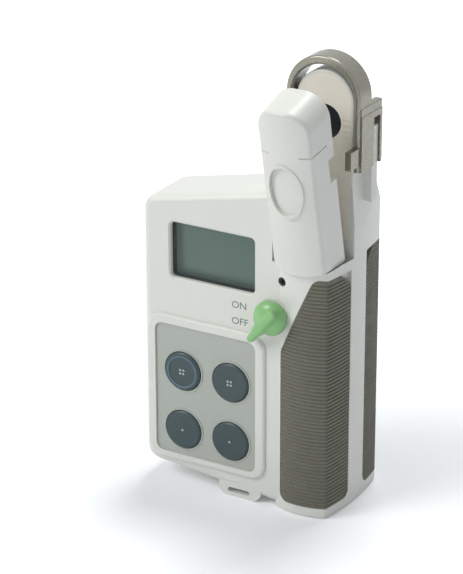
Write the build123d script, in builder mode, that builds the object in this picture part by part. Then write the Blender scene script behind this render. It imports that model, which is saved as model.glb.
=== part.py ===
"""Hand-held leaf chlorophyll meter, in millimetres.

X runs to the right seen from the front, Y to the back and Z up.
The origin is at the bottom, in the middle of the meter's width and depth.
The measuring head stands open, as its spring holds it at rest.
"""

from build123d import *
from math import cos, radians, sin
import os

os.makedirs("parts", exist_ok=True)

# Display body
body_left = -39.0
body_right = 20.0
display_face = -12.4
body_back = 13.2
body_top_left = 107.2
body_top_rise = 0.2128
body_bottom_left = 6.9
body_bottom_fall = 0.098
body_corner = 5.5
front_round = 3.2
back_round = 3.0
body_wall = 2.0
parting_y = 2.0
close_fit = 0.05
cut_over = 1.0
cut_through = 10.0

# Grip column
grip_x = 24.4
column_back = 28.9
column_front = -13.8
crease_half_width = 10.0
crease_y = -11.6
side_half_width = 12.0
side_y = 5.0
back_half_width = 10.2
back_crease_y = 26.0
crease_round = 1.0
back_crease_round = 3.0
foot_round = 1.2
column_wall = 3.2
column_top = 119.0
floor_wall = 2.6

# Shoulder under the measuring head
shoulder_z = 91.0
shoulder_rise = 2.6
shoulder_wall = 2.2
head_gap = 0.4
head_sweep = 40.0
pocket_left = 13.2
column_passage = 20.9
passage_lap = 0.7
passage_step = 1.0

# Depth stopper
stopper_side = 39.0
stopper_top = 164.0
stopper_step_out = 0.6
stopper_half_width = stopper_side - grip_x - stopper_step_out
stopper_wall = 2.2
stopper_crown = 3.1
stopper_round = 0.9
stopper_front = 1.4
stopper_depth = 8.6
stopper_bottom = stopper_top - 38.8
block_back = 17.0
block_top = stopper_bottom + 22.2
block_step = stopper_bottom + 19.4
block_step_width = 0.3
lug_front = -4.2
lug_bottom = stopper_bottom + 2.4
lug_top = stopper_bottom + 8.8
rail_front = 11.2
rail_back = 15.2
rail_side = stopper_side - 0.7
rail_top = stopper_bottom + 13.6
rail_bottom = stopper_bottom - 13.2
rail_clearance = 0.3
slot_above_rail = 3.4

# Rear arm
arm_side_gap = 0.8
arm_half_width = stopper_half_width - stopper_wall - arm_side_gap
arm_front = 3.2
arm_back = 17.5
arm_top_gap = 2.1
arm_top = stopper_top - stopper_crown - arm_top_gap
arm_wall = 2.2
arm_front_round = 0.8
arm_back_round = 3.0
neck_bottom = 99.0
neck_bow = 1.6
shoulder_slope_z = 104.0
bulkhead_bottom = 76.0
bulkhead_half = 15.0
arm_cavity_start = 6.0
arm_start = 20.0

# Keypad bezel and label
bezel_left = -37.0
bezel_right = 10.9
bezel_bottom = 9.2
bezel_top = 65.2
bezel_height = 1.2
bezel_corner = 6.0
bezel_round = 1.1
label_left = -33.5
label_right = 7.3
label_bottom = 11.9
label_top = 61.9
label_corner = 3.2
label_recess = 1.3
label_thickness = 0.6
label_ring = 0.55
label_ring_height = 0.25

# Keys
key_x = -12.6
key_pitch_x = 19.4
key_z = 33.3
key_pitch_z = 22.7
key_radius = 7.2
key_clearance = 0.3
key_flange = 0.9
key_flange_rim = 1.0
key_proud = 0.9
key_travel = 0.8
key_seat_gap = 0.3
key_crown = 0.5
key_ring_radius = 6.2
key_ring_width = 0.8
key_ring_height = 0.25
dot_radius = 0.45
dot_height = 0.2
dot_spacing = 1.3
plunger_radius = 2.5
plunger_gap = 0.2
mat_thickness = 1.2
mat_margin = 2.6

# Display
window_left = -27.6
window_right = 6.2
window_bottom = 79.4
window_top = 100.0
window_corner = 1.8
window_chamfer = 0.6
window_lap = 2.0
window_thickness = 1.0
window_edge = 0.8
holder_depth = 2.5
holder_step = 0.4
panel_thickness = 1.7
panel_margin = 1.0

# Circuit board
board_front = -5.2
board_thickness = 1.6
board_left = -31.5
board_right = 6.0
board_bottom = 11.0
board_top = 103.0

# Power knob
knob_x = 14.0
knob_z = 73.5
knob_radius = 6.2
knob_skirt = 1.6
knob_dome = 4.6
knob_flat = 0.2
knob_gap = 0.15
boss_radius = 6.8
boss_height = 1.2
lever_angle = 231.0
lever_length = 12.2
lever_step = 8.2
lever_width = 4.6
lever_round = 1.0
lever_rise = 0.2
lever_tip_width = 3.0
lever_tip_round = 1.2
lever_tip_rise = 0.6
lever_tip_height = 2.0
shaft_radius = 2.0
shaft_clearance = 0.06
shaft_end = 1.3
stub_radius = 1.45
stub_height = 2.4
stub_clearance = 0.05
stub_end_gap = 0.1
switch_size = 9.0
switch_front = -9.2
switch_margin = 1.0
switch_floor = 1.0

# Grip pads
pad_thickness = 1.5
pad_clearance = 0.05
pad_left = 16.8
pad_bottom = 4.0
pad_side_top = 90.0
pad_front_top = 89.2
pad_slope_z = 61.0
pad_slope_x = 29.4
pad_corner = 3.4
pad_shoulder = 9.0
pad_side_edge = 1.8
rear_pad_edge = 12.6
rear_pad_left = 17.0
rear_pad_top = 93.5

# Battery bay
cell_radius = 7.15
cell_length = 50.0
cell_pitch = 15.2
cell_y = 4.3
bay_x = -12.2
bay_bottom = 12.6
cell_spring = 1.0
cell_nub_radius = 2.6
cell_nub = 1.0
cell_clearance = 0.2
tray_wall = 1.6
tray_front = -3.5
tray_back = 3.6
contact_thickness = 0.4
contact_rim = 1.0
contact_ring_radius = 4.0
contact_ring_bore = 2.8
door_left = -30.0
door_right = 5.6
door_bottom = 8.2
door_top = 68.0
door_thickness = 1.6
door_gap = 0.3
door_grip_z = 58.0
door_grip_pitch = 1.7
door_grip_length = 16.0
door_grip_width = 0.8
door_grip_count = 6
door_grip_depth = 0.4
ledge_gap = 0.12
ledge_width = 2.2
ledge_top = 1.5
ledge_left = 1.5
ledge_right = 0.6
ledge_thickness = 1.4

# Hinge and head
hinge_y = -2.0
hinge_z = 86.0
head_lean = 12.5
head_half_width = 10.5
head_front = 12.055
head_back = -4.2
head_corner = 8.6
head_taper = 3.0
head_round = 1.8
head_back_edge = 1.0
head_bow = 21.4
head_wall = 1.6
head_floor = 12.5
head_front_wall = 3.2
head_parting = 0.6
head_parting_taper = 0.25
head_taper_at_front = 0.85
pin_radius = 1.25
pin_clearance = 0.06
pin_seat = 0.02
pin_end_gap = 0.3
pin_hole_end = 1.0
tongue_radius = 4.0
tongue_left = 22.6
tongue_right = 29.6
tongue_back = -3.6
tongue_front = 0.3
tongue_root = 9.0
ear_left = 15.6
ear_inner = 19.0
ear_width = 2.0
ear_gap = 0.3
ear_slot_gap = 0.2
ear_wall_gap = 0.3
ear_front = -6.0
ear_bottom = 81.5
slot_front = -6.8
slot_below = 3.0
slot_above = 4.0
rail_root = 0.4
spring_wire = 0.35
spring_radius = 1.85
spring_end_gap = 0.1
spring_far_gap = 0.3
receptor_z = stopper_top - 23.2
measure_height = receptor_z - hinge_z
head_top = measure_height + 17.2
line_start = 5.6
line_width = 0.5
line_depth = 0.35
rest_height = measure_height - 13.6
rest_x = -0.9
rest_half_width = 7.0
rest_half_height = 10.4
rest_rim = 1.0
rest_proud = 0.5
rest_depth = 1.5
emitter_radius = 5.0
seal_rim = 1.7
seal_gap = 0.1
seal_proud = 0.6
notch_bottom = measure_height - 14.8
notch_top = measure_height - 5.8
notch_depth = 4.7
notch_width = 3.4

# Receptor
receptor_radius = 6.2
receptor_window_thickness = 1.8
face_inset = 0.9
face_thickness = 1.0
face_bottom = 100.0

# Strap lug
lug_left = -8.2
lug_right = 8.9
strap_depth = 4.4
strap_slot_length = 8.8
strap_slot_height = 1.8
strap_slot_z = 2.5
strap_slot_x = -0.1
strap_corner = 4.0

# Screws
screw_places = ((-34.2, 14.5), (-34.2, 100.5), (8.4, 109.0), (9.2, 12.0))
screw_boss = 2.6
screw_head = 2.2
screw_head_depth = 1.8
screw_counterbore = 2.6
screw_drive_radius = 0.9
screw_drive_depth = 0.9
screw_radius = 1.0
screw_clearance = 0.15
screw_tip = -6.0
front_screw_x = 17.3
front_screw_z = 86.8
front_screw_head = 1.55
front_screw_recess = -11.2
front_screw_tip = -3.9
front_screw_radius = 0.9
front_screw_head_depth = 1.1
front_screw_boss = 2.0
front_screw_head_gap = 0.1
front_screw_hole = 5.0

# Seal between the covers
seal_inset = 0.6
seal_width = 0.8
seal_depth = 0.6
seal_right = 12.0

# Boards and sounder
inner_half_width = 6.2
lamp_window_radius = 4.4
lamp_radius = 1.5
lamp_height = 2.0
lamp_spacing = 3.6
lamp_post_x = 9.0
lamp_post_z = 15.0
lamp_post_radius = 1.2
lamp_board_height = 22.0
lamp_board_gap = 0.2
small_board = 1.2
diode_radius = 4.0
diode_height = 1.8
buzzer_radius = 5.0
buzzer_height = 3.0
buzzer_x = -15.0
buzzer_z = 86.0
post_radius = 1.4
receptor_board_half = 7.4
receptor_board_front = 6.8
receptor_board_corner = 3.0
post_end = 3.0
post_x = 5.0
receptor_board_bottom = receptor_z - 22.0
receptor_board_top = receptor_z + 12.0
graduation_pitch = 2.0
graduation_length = 3.2
graduation_depth = 0.25
graduation_width = 0.35
graduation_count = 4
graduation_drop = 1.5
click_gap = 0.05
click_reach = grip_x + stopper_half_width - stopper_wall - click_gap
click_half_length = 5.6
click_middle = stopper_bottom + 9.8
click_pocket = 0.6
click_front = 4.8
click_back = 8.6
click_clearance = 0.2
click_thickness = 0.3


def facing_front(y):
    """Plane with X to the right and Z up, whose extrusions come towards the front."""
    return Plane.XZ.offset(-y)


def facing_up(z):
    """Level plane at a height."""
    return Plane.XY.offset(z)


def facing_side(x):
    """Plane with Y to the right and Z up, whose extrusions go to +X."""
    return Plane.YZ.offset(x)


def facing_head(forward):
    """Front plane of the leaning head: X to the right, the head's length up, forward of the hinge axis."""
    lean = radians(head_lean)
    hinge = Plane(origin=(0, hinge_y, hinge_z), x_dir=(1, 0, 0), z_dir=(0, -cos(lean), -sin(lean)))
    return hinge.offset(forward)


def across_head(height):
    """Section plane of the leaning head: X to the right, Y to the back, height along the head."""
    lean = radians(head_lean)
    hinge = Plane(origin=(0, hinge_y, hinge_z), x_dir=(1, 0, 0), z_dir=(0, -sin(lean), cos(lean)))
    return hinge.offset(height)


def body_top_at(x):
    """Height of the body's rising top edge."""
    return body_top_left + body_top_rise * (x - body_left)


def body_bottom_at(x):
    """Height of the body's falling bottom edge."""
    return body_bottom_left - body_bottom_fall * (x - body_left)


def body_outline(right, inset):
    """Front view of the display body: the top rises and the bottom falls towards the column."""
    left = body_left + inset
    with BuildSketch() as outline:
        with BuildLine():
            Polyline(
                (left, body_bottom_at(left) + inset),
                (right, body_bottom_at(right) + inset),
                (right, body_top_at(right) - inset),
                (left, body_top_at(left) - inset),
                close=True,
            )
        make_face()
        fillet(outline.vertices().group_by(Axis.X)[0], body_corner - inset)
    return outline.sketch


def column_outline(inset):
    """Plan of the column: four bowed sides that meet in creases."""
    with BuildSketch() as outline:
        with BuildLine():
            front_left = (grip_x - crease_half_width, crease_y)
            front_right = (grip_x + crease_half_width, crease_y)
            back_right = (grip_x + back_half_width, back_crease_y)
            back_left = (grip_x - back_half_width, back_crease_y)
            ThreePointArc(front_left, (grip_x, column_front), front_right)
            ThreePointArc(front_right, (grip_x + side_half_width, side_y), back_right)
            ThreePointArc(back_right, (grip_x, column_back), back_left)
            ThreePointArc(back_left, (grip_x - side_half_width, side_y), front_left)
        make_face()
        fillet(outline.vertices().group_by(Axis.Y)[0], crease_round)
        fillet(outline.vertices().group_by(Axis.Y)[-1], back_crease_round)
        if inset > 0:
            offset(amount=-inset, kind=Kind.INTERSECTION)
    return outline.sketch


def arch_outline(half_width, bottom, top):
    """Front view of an upright with a half-round top."""
    with BuildSketch() as outline:
        with BuildLine():
            Polyline(
                (grip_x - half_width, top - half_width),
                (grip_x - half_width, bottom),
                (grip_x + half_width, bottom),
                (grip_x + half_width, top - half_width),
            )
            ThreePointArc(
                (grip_x + half_width, top - half_width),
                (grip_x, top),
                (grip_x - half_width, top - half_width),
            )
        make_face()
    return outline.sketch


def block(x_range, y_range, z_range, mode=Mode.ADD):
    """Box between two values along each axis."""
    middle = [(low + high) / 2 for low, high in (x_range, y_range, z_range)]
    size = [high - low for low, high in (x_range, y_range, z_range)]
    with Locations(tuple(middle)):
        Box(*size, mode=mode)


# Display body form, rounded along its front and back outlines
with BuildPart() as body_form:
    with BuildSketch(facing_front(body_back)):
        add(body_outline(body_right, 0))
    extrude(amount=body_back - display_face)
    front_edges = body_form.faces().sort_by(Axis.Y)[0].edges()
    fillet(front_edges.filter_by(lambda edge: edge.center().X < body_right - 1), front_round)
    back_edges = body_form.faces().sort_by(Axis.Y)[-1].edges()
    fillet(back_edges.filter_by(lambda edge: edge.center().X < body_right - 1), back_round)

# Column form, with its foot rounded and its neck swept in to the rear arm
with BuildPart() as column_form:
    with BuildSketch(facing_up(0)):
        add(column_outline(0))
    extrude(amount=column_top)
    fillet(column_form.faces().sort_by(Axis.Z)[0].edges(), foot_round)
    with BuildSketch(facing_side(grip_x - 2 * side_half_width)):
        with BuildLine():
            neck_middle = ((arm_back + column_back) / 2 + neck_bow, (neck_bottom + column_top) / 2)
            ThreePointArc((column_back + 0.5, neck_bottom), neck_middle, (arm_back, column_top + 1))
            Polyline(
                (arm_back, column_top + 1),
                (column_back + 5, column_top + 1),
                (column_back + 5, neck_bottom),
                (column_back + 0.5, neck_bottom),
            )
        make_face()
    extrude(amount=4 * side_half_width, mode=Mode.SUBTRACT)
    with BuildSketch(facing_front(column_back + 1)):
        with BuildLine():
            Polyline(
                (grip_x + side_half_width, shoulder_slope_z),
                (grip_x + arm_half_width - 0.1, column_top),
                (grip_x + 2 * side_half_width, column_top + 1),
                (grip_x + 2 * side_half_width, shoulder_slope_z),
                close=True,
            )
        make_face()
        mirror(about=Plane.YZ.offset(grip_x))
    extrude(amount=column_back + 1 - arm_front, mode=Mode.SUBTRACT)

# Rear arm form
with BuildPart() as arm_form:
    with BuildSketch(facing_front(arm_back)):
        add(arch_outline(arm_half_width, bulkhead_bottom + arm_start, arm_top))
    extrude(amount=arm_back - arm_front)
    front_edges = arm_form.faces().sort_by(Axis.Y)[0].edges()
    fillet(front_edges.filter_by(lambda edge: edge.center().Z > neck_bottom), arm_front_round)
    back_edges = arm_form.faces().sort_by(Axis.Y)[-1].edges()
    fillet(back_edges.filter_by(lambda edge: edge.center().Z > neck_bottom), arm_back_round)

# Space cleared for the measuring head in front of the rear arm
with BuildPart() as head_space:
    with BuildSketch(facing_front(arm_front)):
        with BuildLine():
            edge_z = shoulder_z + shoulder_rise
            reach = grip_x - pocket_left
            ThreePointArc((pocket_left, edge_z), (grip_x, shoulder_z), (grip_x + reach, edge_z))
            Polyline(
                (grip_x + reach, edge_z),
                (stopper_side + 5, edge_z),
                (stopper_side + 5, stopper_top + 5),
                (pocket_left, stopper_top + 5),
                (pocket_left, edge_z),
            )
        make_face()
    extrude(amount=arm_front - column_front + 10)

# Hollow inside the housing
with BuildPart() as hollow:
    with BuildSketch(facing_front(body_back - body_wall)):
        add(body_outline(pocket_left - body_wall, body_wall))
    extrude(amount=body_back - display_face - 2 * body_wall)
    low_top = shoulder_z - shoulder_wall
    passage_x = (bezel_right - column_passage, pad_left + passage_lap)
    passage_z = (body_bottom_at(0) + body_wall + passage_step, low_top)
    block(passage_x, (display_face + body_wall, arm_front), passage_z)
    with BuildSketch(facing_up(floor_wall)):
        add(column_outline(column_wall))
    extrude(amount=neck_bottom - floor_wall)
    above = (low_top, column_top)
    before_arm = (column_front - 5, arm_front + arm_wall)
    block((pocket_left - body_wall, stopper_side), before_arm, above, Mode.SUBTRACT)
    bulkhead_x = (grip_x - bulkhead_half, grip_x + bulkhead_half)
    block(bulkhead_x, (arm_front, arm_front + arm_wall), (bulkhead_bottom, low_top), Mode.SUBTRACT)
    with BuildSketch(facing_front(arm_back - arm_wall)):
        add(arch_outline(arm_half_width - arm_wall, neck_bottom - arm_cavity_start, arm_top - arm_wall))
    extrude(amount=arm_back - arm_front - 2 * arm_wall)


def front_pad_outline(margin):
    """Front pad seen from the front, with its sloping upper left edge."""
    reach = grip_x + side_half_width + 2
    with BuildSketch() as outline:
        with BuildLine():
            Polyline(
                (pad_left - margin, pad_bottom - margin),
                (reach, pad_bottom - margin),
                (reach, pad_front_top + margin),
                (pad_slope_x, pad_front_top + margin),
                (pad_left - margin, pad_slope_z),
                close=True,
            )
        make_face()
        fillet(outline.vertices().filter_by(lambda corner: corner.X < reach - 1), pad_corner)
    return outline.sketch


def side_pad_outline(front, back, top, rounded, margin):
    """One pad on the column's side: the edge on the white strip is rounded at its top and bottom."""
    with BuildSketch() as outline:
        with BuildLine():
            Polyline(
                (front - margin, pad_bottom - margin),
                (back + margin, pad_bottom - margin),
                (back + margin, top + margin),
                (front - margin, top + margin),
                close=True,
            )
        make_face()
        edge_y = back + margin if rounded == "back" else front - margin
        corners = outline.vertices().filter_by(lambda corner: abs(corner.X - edge_y) < 0.01).sort_by(Axis.Y)
        fillet(corners[0], pad_corner)
        fillet(corners[1], pad_shoulder)
    return outline.sketch


def front_pad_reach(margin, depth):
    """Solid that holds the front pad's part of a skin of the column."""
    with BuildPart() as reach:
        with BuildSketch(facing_front(crease_y + depth)):
            add(front_pad_outline(margin))
        extrude(amount=depth + 6)
        with BuildSketch(facing_side(grip_x + crease_half_width - depth)):
            add(side_pad_outline(crease_y - 4, pad_side_edge, pad_side_top, "back", margin))
        extrude(amount=depth + 6)
    return reach.part


def rear_pad_reach(margin, depth):
    """Solid that holds the rear pad's part of a skin of the column."""
    with BuildPart() as reach:
        with BuildSketch(facing_front(column_back + 4)):
            with BuildLine():
                Polyline(
                    (rear_pad_left - margin, pad_bottom - margin),
                    (stopper_side, pad_bottom - margin),
                    (stopper_side, rear_pad_top + margin),
                    (pad_slope_x, rear_pad_top + margin),
                    (rear_pad_left - margin, pad_slope_z),
                    close=True,
                )
            make_face()
        extrude(amount=column_back + 4 - back_crease_y + depth)
        with BuildSketch(facing_side(grip_x + back_half_width - depth)):
            add(side_pad_outline(rear_pad_edge, column_back + 4, rear_pad_top, "front", margin))
        extrude(amount=depth + 6)
    return reach.part


def pad_pocket(reach):
    """Pocket that a pad is glued into."""
    with BuildPart() as pocket:
        with BuildSketch(facing_up(pad_bottom - 1)):
            with Locations((grip_x, side_y)):
                Rectangle(4 * side_half_width, 5 * side_half_width)
            add(column_outline(pad_thickness + pad_clearance), mode=Mode.SUBTRACT)
        extrude(amount=rear_pad_top + 2 - pad_bottom)
        add(reach, mode=Mode.INTERSECT)
    return pocket.part


front_pocket = pad_pocket(front_pad_reach(pad_clearance, 3.0))
rear_pocket = pad_pocket(rear_pad_reach(pad_clearance, 3.0))

# Housing: the forms joined, hollowed and cleared for the head
with BuildPart() as housing:
    add(body_form.part)
    add(column_form.part)
    add(arm_form.part)
    add(head_space.part, mode=Mode.SUBTRACT)
    add(front_pocket, mode=Mode.SUBTRACT)
    add(rear_pocket, mode=Mode.SUBTRACT)
    add(hollow.part, mode=Mode.SUBTRACT)

# Front cover: the housing in front of the parting plane, with bezel, knob boss and strap lug
bezel_front = display_face - bezel_height
label_back = bezel_front + label_recess
label_front = label_back - label_thickness
wall_back = display_face + body_wall
key_columns = (key_x - key_pitch_x / 2, key_x + key_pitch_x / 2)
key_rows = (key_z + key_pitch_z / 2, key_z - key_pitch_z / 2)
key_grid = [(x, z) for z in key_rows for x in key_columns]


def between(left, right, low, high):
    """Middle and size of an upright rectangle."""
    return (left + right) / 2, (low + high) / 2, right - left, high - low


with BuildPart() as front_cover:
    add(housing.part)
    block((body_left - 1, stopper_side + 1), (parting_y, column_back + 1), (-1, stopper_top), Mode.SUBTRACT)
    with BuildSketch(facing_front(wall_back)):
        middle_x, middle_z, wide, high = between(bezel_left, bezel_right, bezel_bottom, bezel_top)
        with Locations((middle_x, middle_z)):
            RectangleRounded(wide, high, bezel_corner)
    extrude(amount=wall_back - bezel_front)
    fillet(front_cover.faces().filter_by(Axis.Y).sort_by(Axis.Y)[0].edges(), bezel_round)
    with BuildSketch(facing_front(wall_back)):
        with Locations((knob_x, knob_z)):
            Circle(boss_radius)
    extrude(amount=wall_back - display_face + boss_height)
    with BuildSketch(facing_front(display_face + strap_depth)):
        lug_x, lug_z, lug_wide, lug_high = between(lug_left, lug_right, 0, body_bottom_at(lug_left) + 1.5)
        with Locations((lug_x, lug_z)):
            lug = Rectangle(lug_wide, lug_high)
        fillet(lug.vertices().group_by(Axis.Y)[0], strap_corner)
        with Locations((strap_slot_x, strap_slot_z)):
            SlotOverall(strap_slot_length, strap_slot_height, mode=Mode.SUBTRACT)
    extrude(amount=strap_depth)
    with BuildSketch(facing_front(parting_y)):
        with Locations(*screw_places):
            Circle(screw_boss)
    extrude(amount=parting_y - wall_back)
    with BuildSketch(facing_front(parting_y)):
        with Locations(*screw_places):
            Circle(screw_radius + close_fit)
    extrude(amount=parting_y - screw_tip + cut_over, mode=Mode.SUBTRACT)
    with BuildSketch(facing_front(label_back)):
        middle_x, middle_z, wide, high = between(label_left, label_right, label_bottom, label_top)
        with Locations((middle_x, middle_z)):
            RectangleRounded(wide, high, label_corner)
    extrude(amount=cut_through, mode=Mode.SUBTRACT)
    with BuildSketch(facing_front(wall_back + cut_over)):
        with Locations(*key_grid):
            Circle(key_radius + key_clearance)
    extrude(amount=cut_through, mode=Mode.SUBTRACT)
    with BuildSketch(facing_front(wall_back + cut_over)):
        middle_x, middle_z, wide, high = between(window_left, window_right, window_bottom, window_top)
        with Locations((middle_x, middle_z)):
            RectangleRounded(wide, high, window_corner)
    extrude(amount=cut_through, mode=Mode.SUBTRACT)
    window_edges = front_cover.edges().filter_by(
        lambda e: abs(e.center().Y - display_face) < 0.01
        and window_left - 0.1 < e.center().X < window_right + 0.1
        and window_bottom - 0.1 < e.center().Z < window_top + 0.1
    )
    chamfer(window_edges, window_chamfer)
    with BuildSketch(facing_front(wall_back + cut_over)):
        with Locations((knob_x, knob_z)):
            Circle(shaft_radius + shaft_clearance)
    extrude(amount=cut_through, mode=Mode.SUBTRACT)
    with BuildSketch(facing_front(ear_front - ear_wall_gap)):
        with Locations((front_screw_x, front_screw_z)):
            Circle(front_screw_boss)
    extrude(amount=ear_front - ear_wall_gap - front_screw_recess)
    with BuildSketch(facing_front(front_screw_recess)):
        with Locations((front_screw_x, front_screw_z)):
            Circle(front_screw_head + front_screw_head_gap)
    extrude(amount=cut_through, mode=Mode.SUBTRACT)
    with BuildSketch(facing_front(arm_front)):
        with Locations((front_screw_x, front_screw_z)):
            Circle(front_screw_radius + close_fit)
    extrude(amount=arm_front - front_screw_recess, mode=Mode.SUBTRACT)
    with BuildSketch(facing_front(parting_y)):
        add(body_outline(seal_right + close_fit, seal_inset - close_fit))
        add(body_outline(seal_right + 2 * close_fit, seal_inset + seal_width + close_fit), mode=Mode.SUBTRACT)
    extrude(amount=seal_depth, mode=Mode.SUBTRACT)
    slot_x = (ear_inner + ear_slot_gap, tongue_right + 2 * ear_slot_gap)
    slot_z = (shoulder_z - shoulder_wall - slot_below, shoulder_z + slot_above)
    block(slot_x, (slot_front, arm_front), slot_z, Mode.SUBTRACT)

# Rear cover: the housing behind the parting plane, with hinge ears, stopper rail and battery opening
ledge_back = body_back - door_thickness - ledge_gap
with BuildPart() as rear_cover:
    add(housing.part)
    block((body_left - 1, stopper_side + 1), (column_front - 1, parting_y), (-1, stopper_top), Mode.SUBTRACT)
    block((grip_x + arm_half_width - rail_root, rail_side), (rail_front, rail_back), (rail_bottom, rail_top))
    top_z = shoulder_z - shoulder_wall - ear_wall_gap
    block((ear_left, ear_inner), (ear_front, arm_front + arm_wall), (ear_bottom, top_z))
    ear_right = tongue_right + ear_gap
    block((ear_right, ear_right + ear_width), (ear_front, arm_front + arm_wall), (ear_bottom, top_z))
    with BuildSketch(facing_side(ear_left)):
        with Locations((hinge_y, hinge_z)):
            Circle(pin_radius + pin_seat)
    extrude(amount=ear_right + ear_width - pin_hole_end - ear_left, mode=Mode.SUBTRACT)
    block(slot_x, (slot_front, arm_front), (top_z, shoulder_z + slot_above), Mode.SUBTRACT)
    with BuildSketch(facing_front(front_screw_tip + ear_wall_gap)):
        with Locations((front_screw_x, front_screw_z)):
            Circle(front_screw_radius + pin_seat)
    extrude(amount=front_screw_hole, mode=Mode.SUBTRACT)
    with BuildSketch(facing_front(body_back - body_wall)):
        with Locations(*screw_places):
            Circle(screw_boss)
    extrude(amount=body_back - body_wall - parting_y)
    with BuildSketch(facing_front(body_back + cut_over)):
        with Locations(*screw_places):
            Circle(screw_radius + screw_clearance)
    extrude(amount=body_back + cut_over - parting_y, mode=Mode.SUBTRACT)
    with BuildSketch(facing_front(body_back + cut_over)):
        with Locations(*screw_places):
            Circle(screw_head + screw_clearance)
    extrude(amount=cut_over + screw_counterbore, mode=Mode.SUBTRACT)
    ledge_z = (body_bottom_at(door_left) + body_wall, door_top + door_gap + ledge_top)
    ledge_x = (door_left - door_gap - ledge_left, door_right + door_gap + ledge_right)
    block(ledge_x, (ledge_back - ledge_thickness, body_back - body_wall), ledge_z)
    door_x = (door_left - door_gap, door_right + door_gap)
    block(door_x, (ledge_back, body_back + cut_over), (-cut_over, door_top + door_gap), Mode.SUBTRACT)
    bay_x_range = (door_left + ledge_width, door_right - ledge_width)
    bay_z_range = (door_bottom + ledge_width, door_top - ledge_width)
    block(bay_x_range, (tray_back, body_back + cut_over), bay_z_range, Mode.SUBTRACT)
    with BuildSketch(facing_front(arm_front + face_thickness)):
        add(arch_outline(arm_half_width - face_inset, face_bottom, arm_top - face_inset))
    extrude(amount=face_thickness + cut_over, mode=Mode.SUBTRACT)
    with BuildSketch(facing_front(arm_front + arm_wall + 2 * close_fit)):
        with Locations((grip_x, receptor_z)):
            Circle(receptor_radius + close_fit)
    extrude(amount=arm_wall + cut_over, mode=Mode.SUBTRACT)
    click_x = (grip_x + arm_half_width - click_pocket, grip_x + arm_half_width + cut_over)
    click_y = (click_front - click_clearance, click_back + click_clearance)
    click_half = click_half_length + click_clearance
    block(click_x, click_y, (click_middle - click_half, click_middle + click_half), Mode.SUBTRACT)
    with BuildSketch(facing_front(receptor_board_front)):
        with Locations((grip_x, (receptor_board_bottom + receptor_board_top) / 2)):
            with GridLocations(2 * post_x, receptor_board_top - receptor_board_bottom - 2 * post_end, 2, 2):
                Circle(post_radius)
    extrude(amount=receptor_board_front - arm_front - arm_wall)

# Display window, holder and panel
with BuildPart() as display_window:
    lap_x = (window_left - window_lap, window_right + window_lap)
    lap_z = (window_bottom - window_lap, window_top + window_lap)
    block(lap_x, (wall_back, wall_back + window_thickness), lap_z)
    chamfer(display_window.edges().filter_by(Axis.Y), window_edge)

holder_front = wall_back + window_thickness
panel_front = holder_front + holder_depth
with BuildPart() as lcd_holder:
    block(lap_x, (holder_front, panel_front), lap_z)
    step_x = (window_left - holder_step, window_right + holder_step)
    step_z = (window_bottom - holder_step, window_top + holder_step)
    block(step_x, (holder_front, panel_front), step_z, Mode.SUBTRACT)

with BuildPart() as lcd_panel:
    panel_x = (window_left - panel_margin, window_right + panel_margin)
    panel_z = (window_bottom - panel_margin, window_top + panel_margin)
    block(panel_x, (panel_front, panel_front + panel_thickness), panel_z)

# Keypad label with a raised ring round each key
with BuildPart() as key_label:
    with BuildSketch(facing_front(label_back)):
        middle_x, middle_z, wide, high = between(label_left, label_right, label_bottom, label_top)
        with Locations((middle_x, middle_z)):
            RectangleRounded(wide - 2 * close_fit, high - 2 * close_fit, label_corner)
    extrude(amount=label_thickness)
    with BuildSketch(facing_front(label_front)):
        with Locations(*key_grid):
            Circle(key_radius + key_clearance + label_ring)
    extrude(amount=label_ring_height)
    with BuildSketch(facing_front(label_back)):
        with Locations(*key_grid):
            Circle(key_radius + key_clearance)
    extrude(amount=label_thickness + cut_over, mode=Mode.SUBTRACT)


def key(place, dots, ring):
    """Round key: a crowned cap through the cover, a flange behind its wall and raised dots."""
    flange_front = wall_back + key_seat_gap
    key_front = label_front - key_proud
    with BuildPart() as cap:
        with BuildSketch(facing_front(flange_front + key_flange)):
            with Locations(place):
                Circle(key_radius + key_flange_rim)
        extrude(amount=key_flange)
        with BuildSketch(facing_front(flange_front)):
            with Locations(place):
                Circle(key_radius)
        extrude(amount=flange_front - key_front)
        chamfer(cap.faces().sort_by(Axis.Y)[0].edges(), key_crown)
        if ring:
            with BuildSketch(facing_front(key_front)):
                with Locations(place):
                    Circle(key_ring_radius)
                    Circle(key_ring_radius - key_ring_width, mode=Mode.SUBTRACT)
            extrude(amount=key_ring_height)
        with BuildSketch(facing_front(key_front)):
            with Locations(place):
                with GridLocations(dot_spacing, dot_spacing, dots, dots):
                    Circle(dot_radius)
        extrude(amount=dot_height)
    return cap


average_key = key(key_grid[0], 2, True)
clear_key = key(key_grid[1], 2, False)
recall_key = key(key_grid[2], 1, False)
delete_key = key(key_grid[3], 1, False)

# Rubber mat with a plunger behind each key
flange_back = wall_back + key_seat_gap + key_flange
with BuildPart() as key_mat:
    mat_reach = key_radius + mat_margin / 2
    mat_x = (key_columns[0] - mat_reach, key_columns[1] + mat_reach)
    mat_z = (key_rows[1] - key_radius, key_rows[0] + key_radius)
    block(mat_x, (board_front - mat_thickness, board_front), mat_z)
    with BuildSketch(facing_front(board_front - mat_thickness)):
        with Locations(*key_grid):
            Circle(plunger_radius)
    extrude(amount=board_front - mat_thickness - (flange_back + key_travel + plunger_gap))

# Main board, with an arm that carries the power switch
board_back = board_front + board_thickness
with BuildPart() as main_board:
    block((board_left, board_right), (board_front, board_back), (board_bottom, board_top))
    half_switch = switch_size / 2
    half_arm = half_switch + switch_margin
    arm_x = (board_right - switch_margin, knob_x + half_arm)
    block(arm_x, (board_front, board_back), (knob_z - half_arm, knob_z + half_arm))

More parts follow.
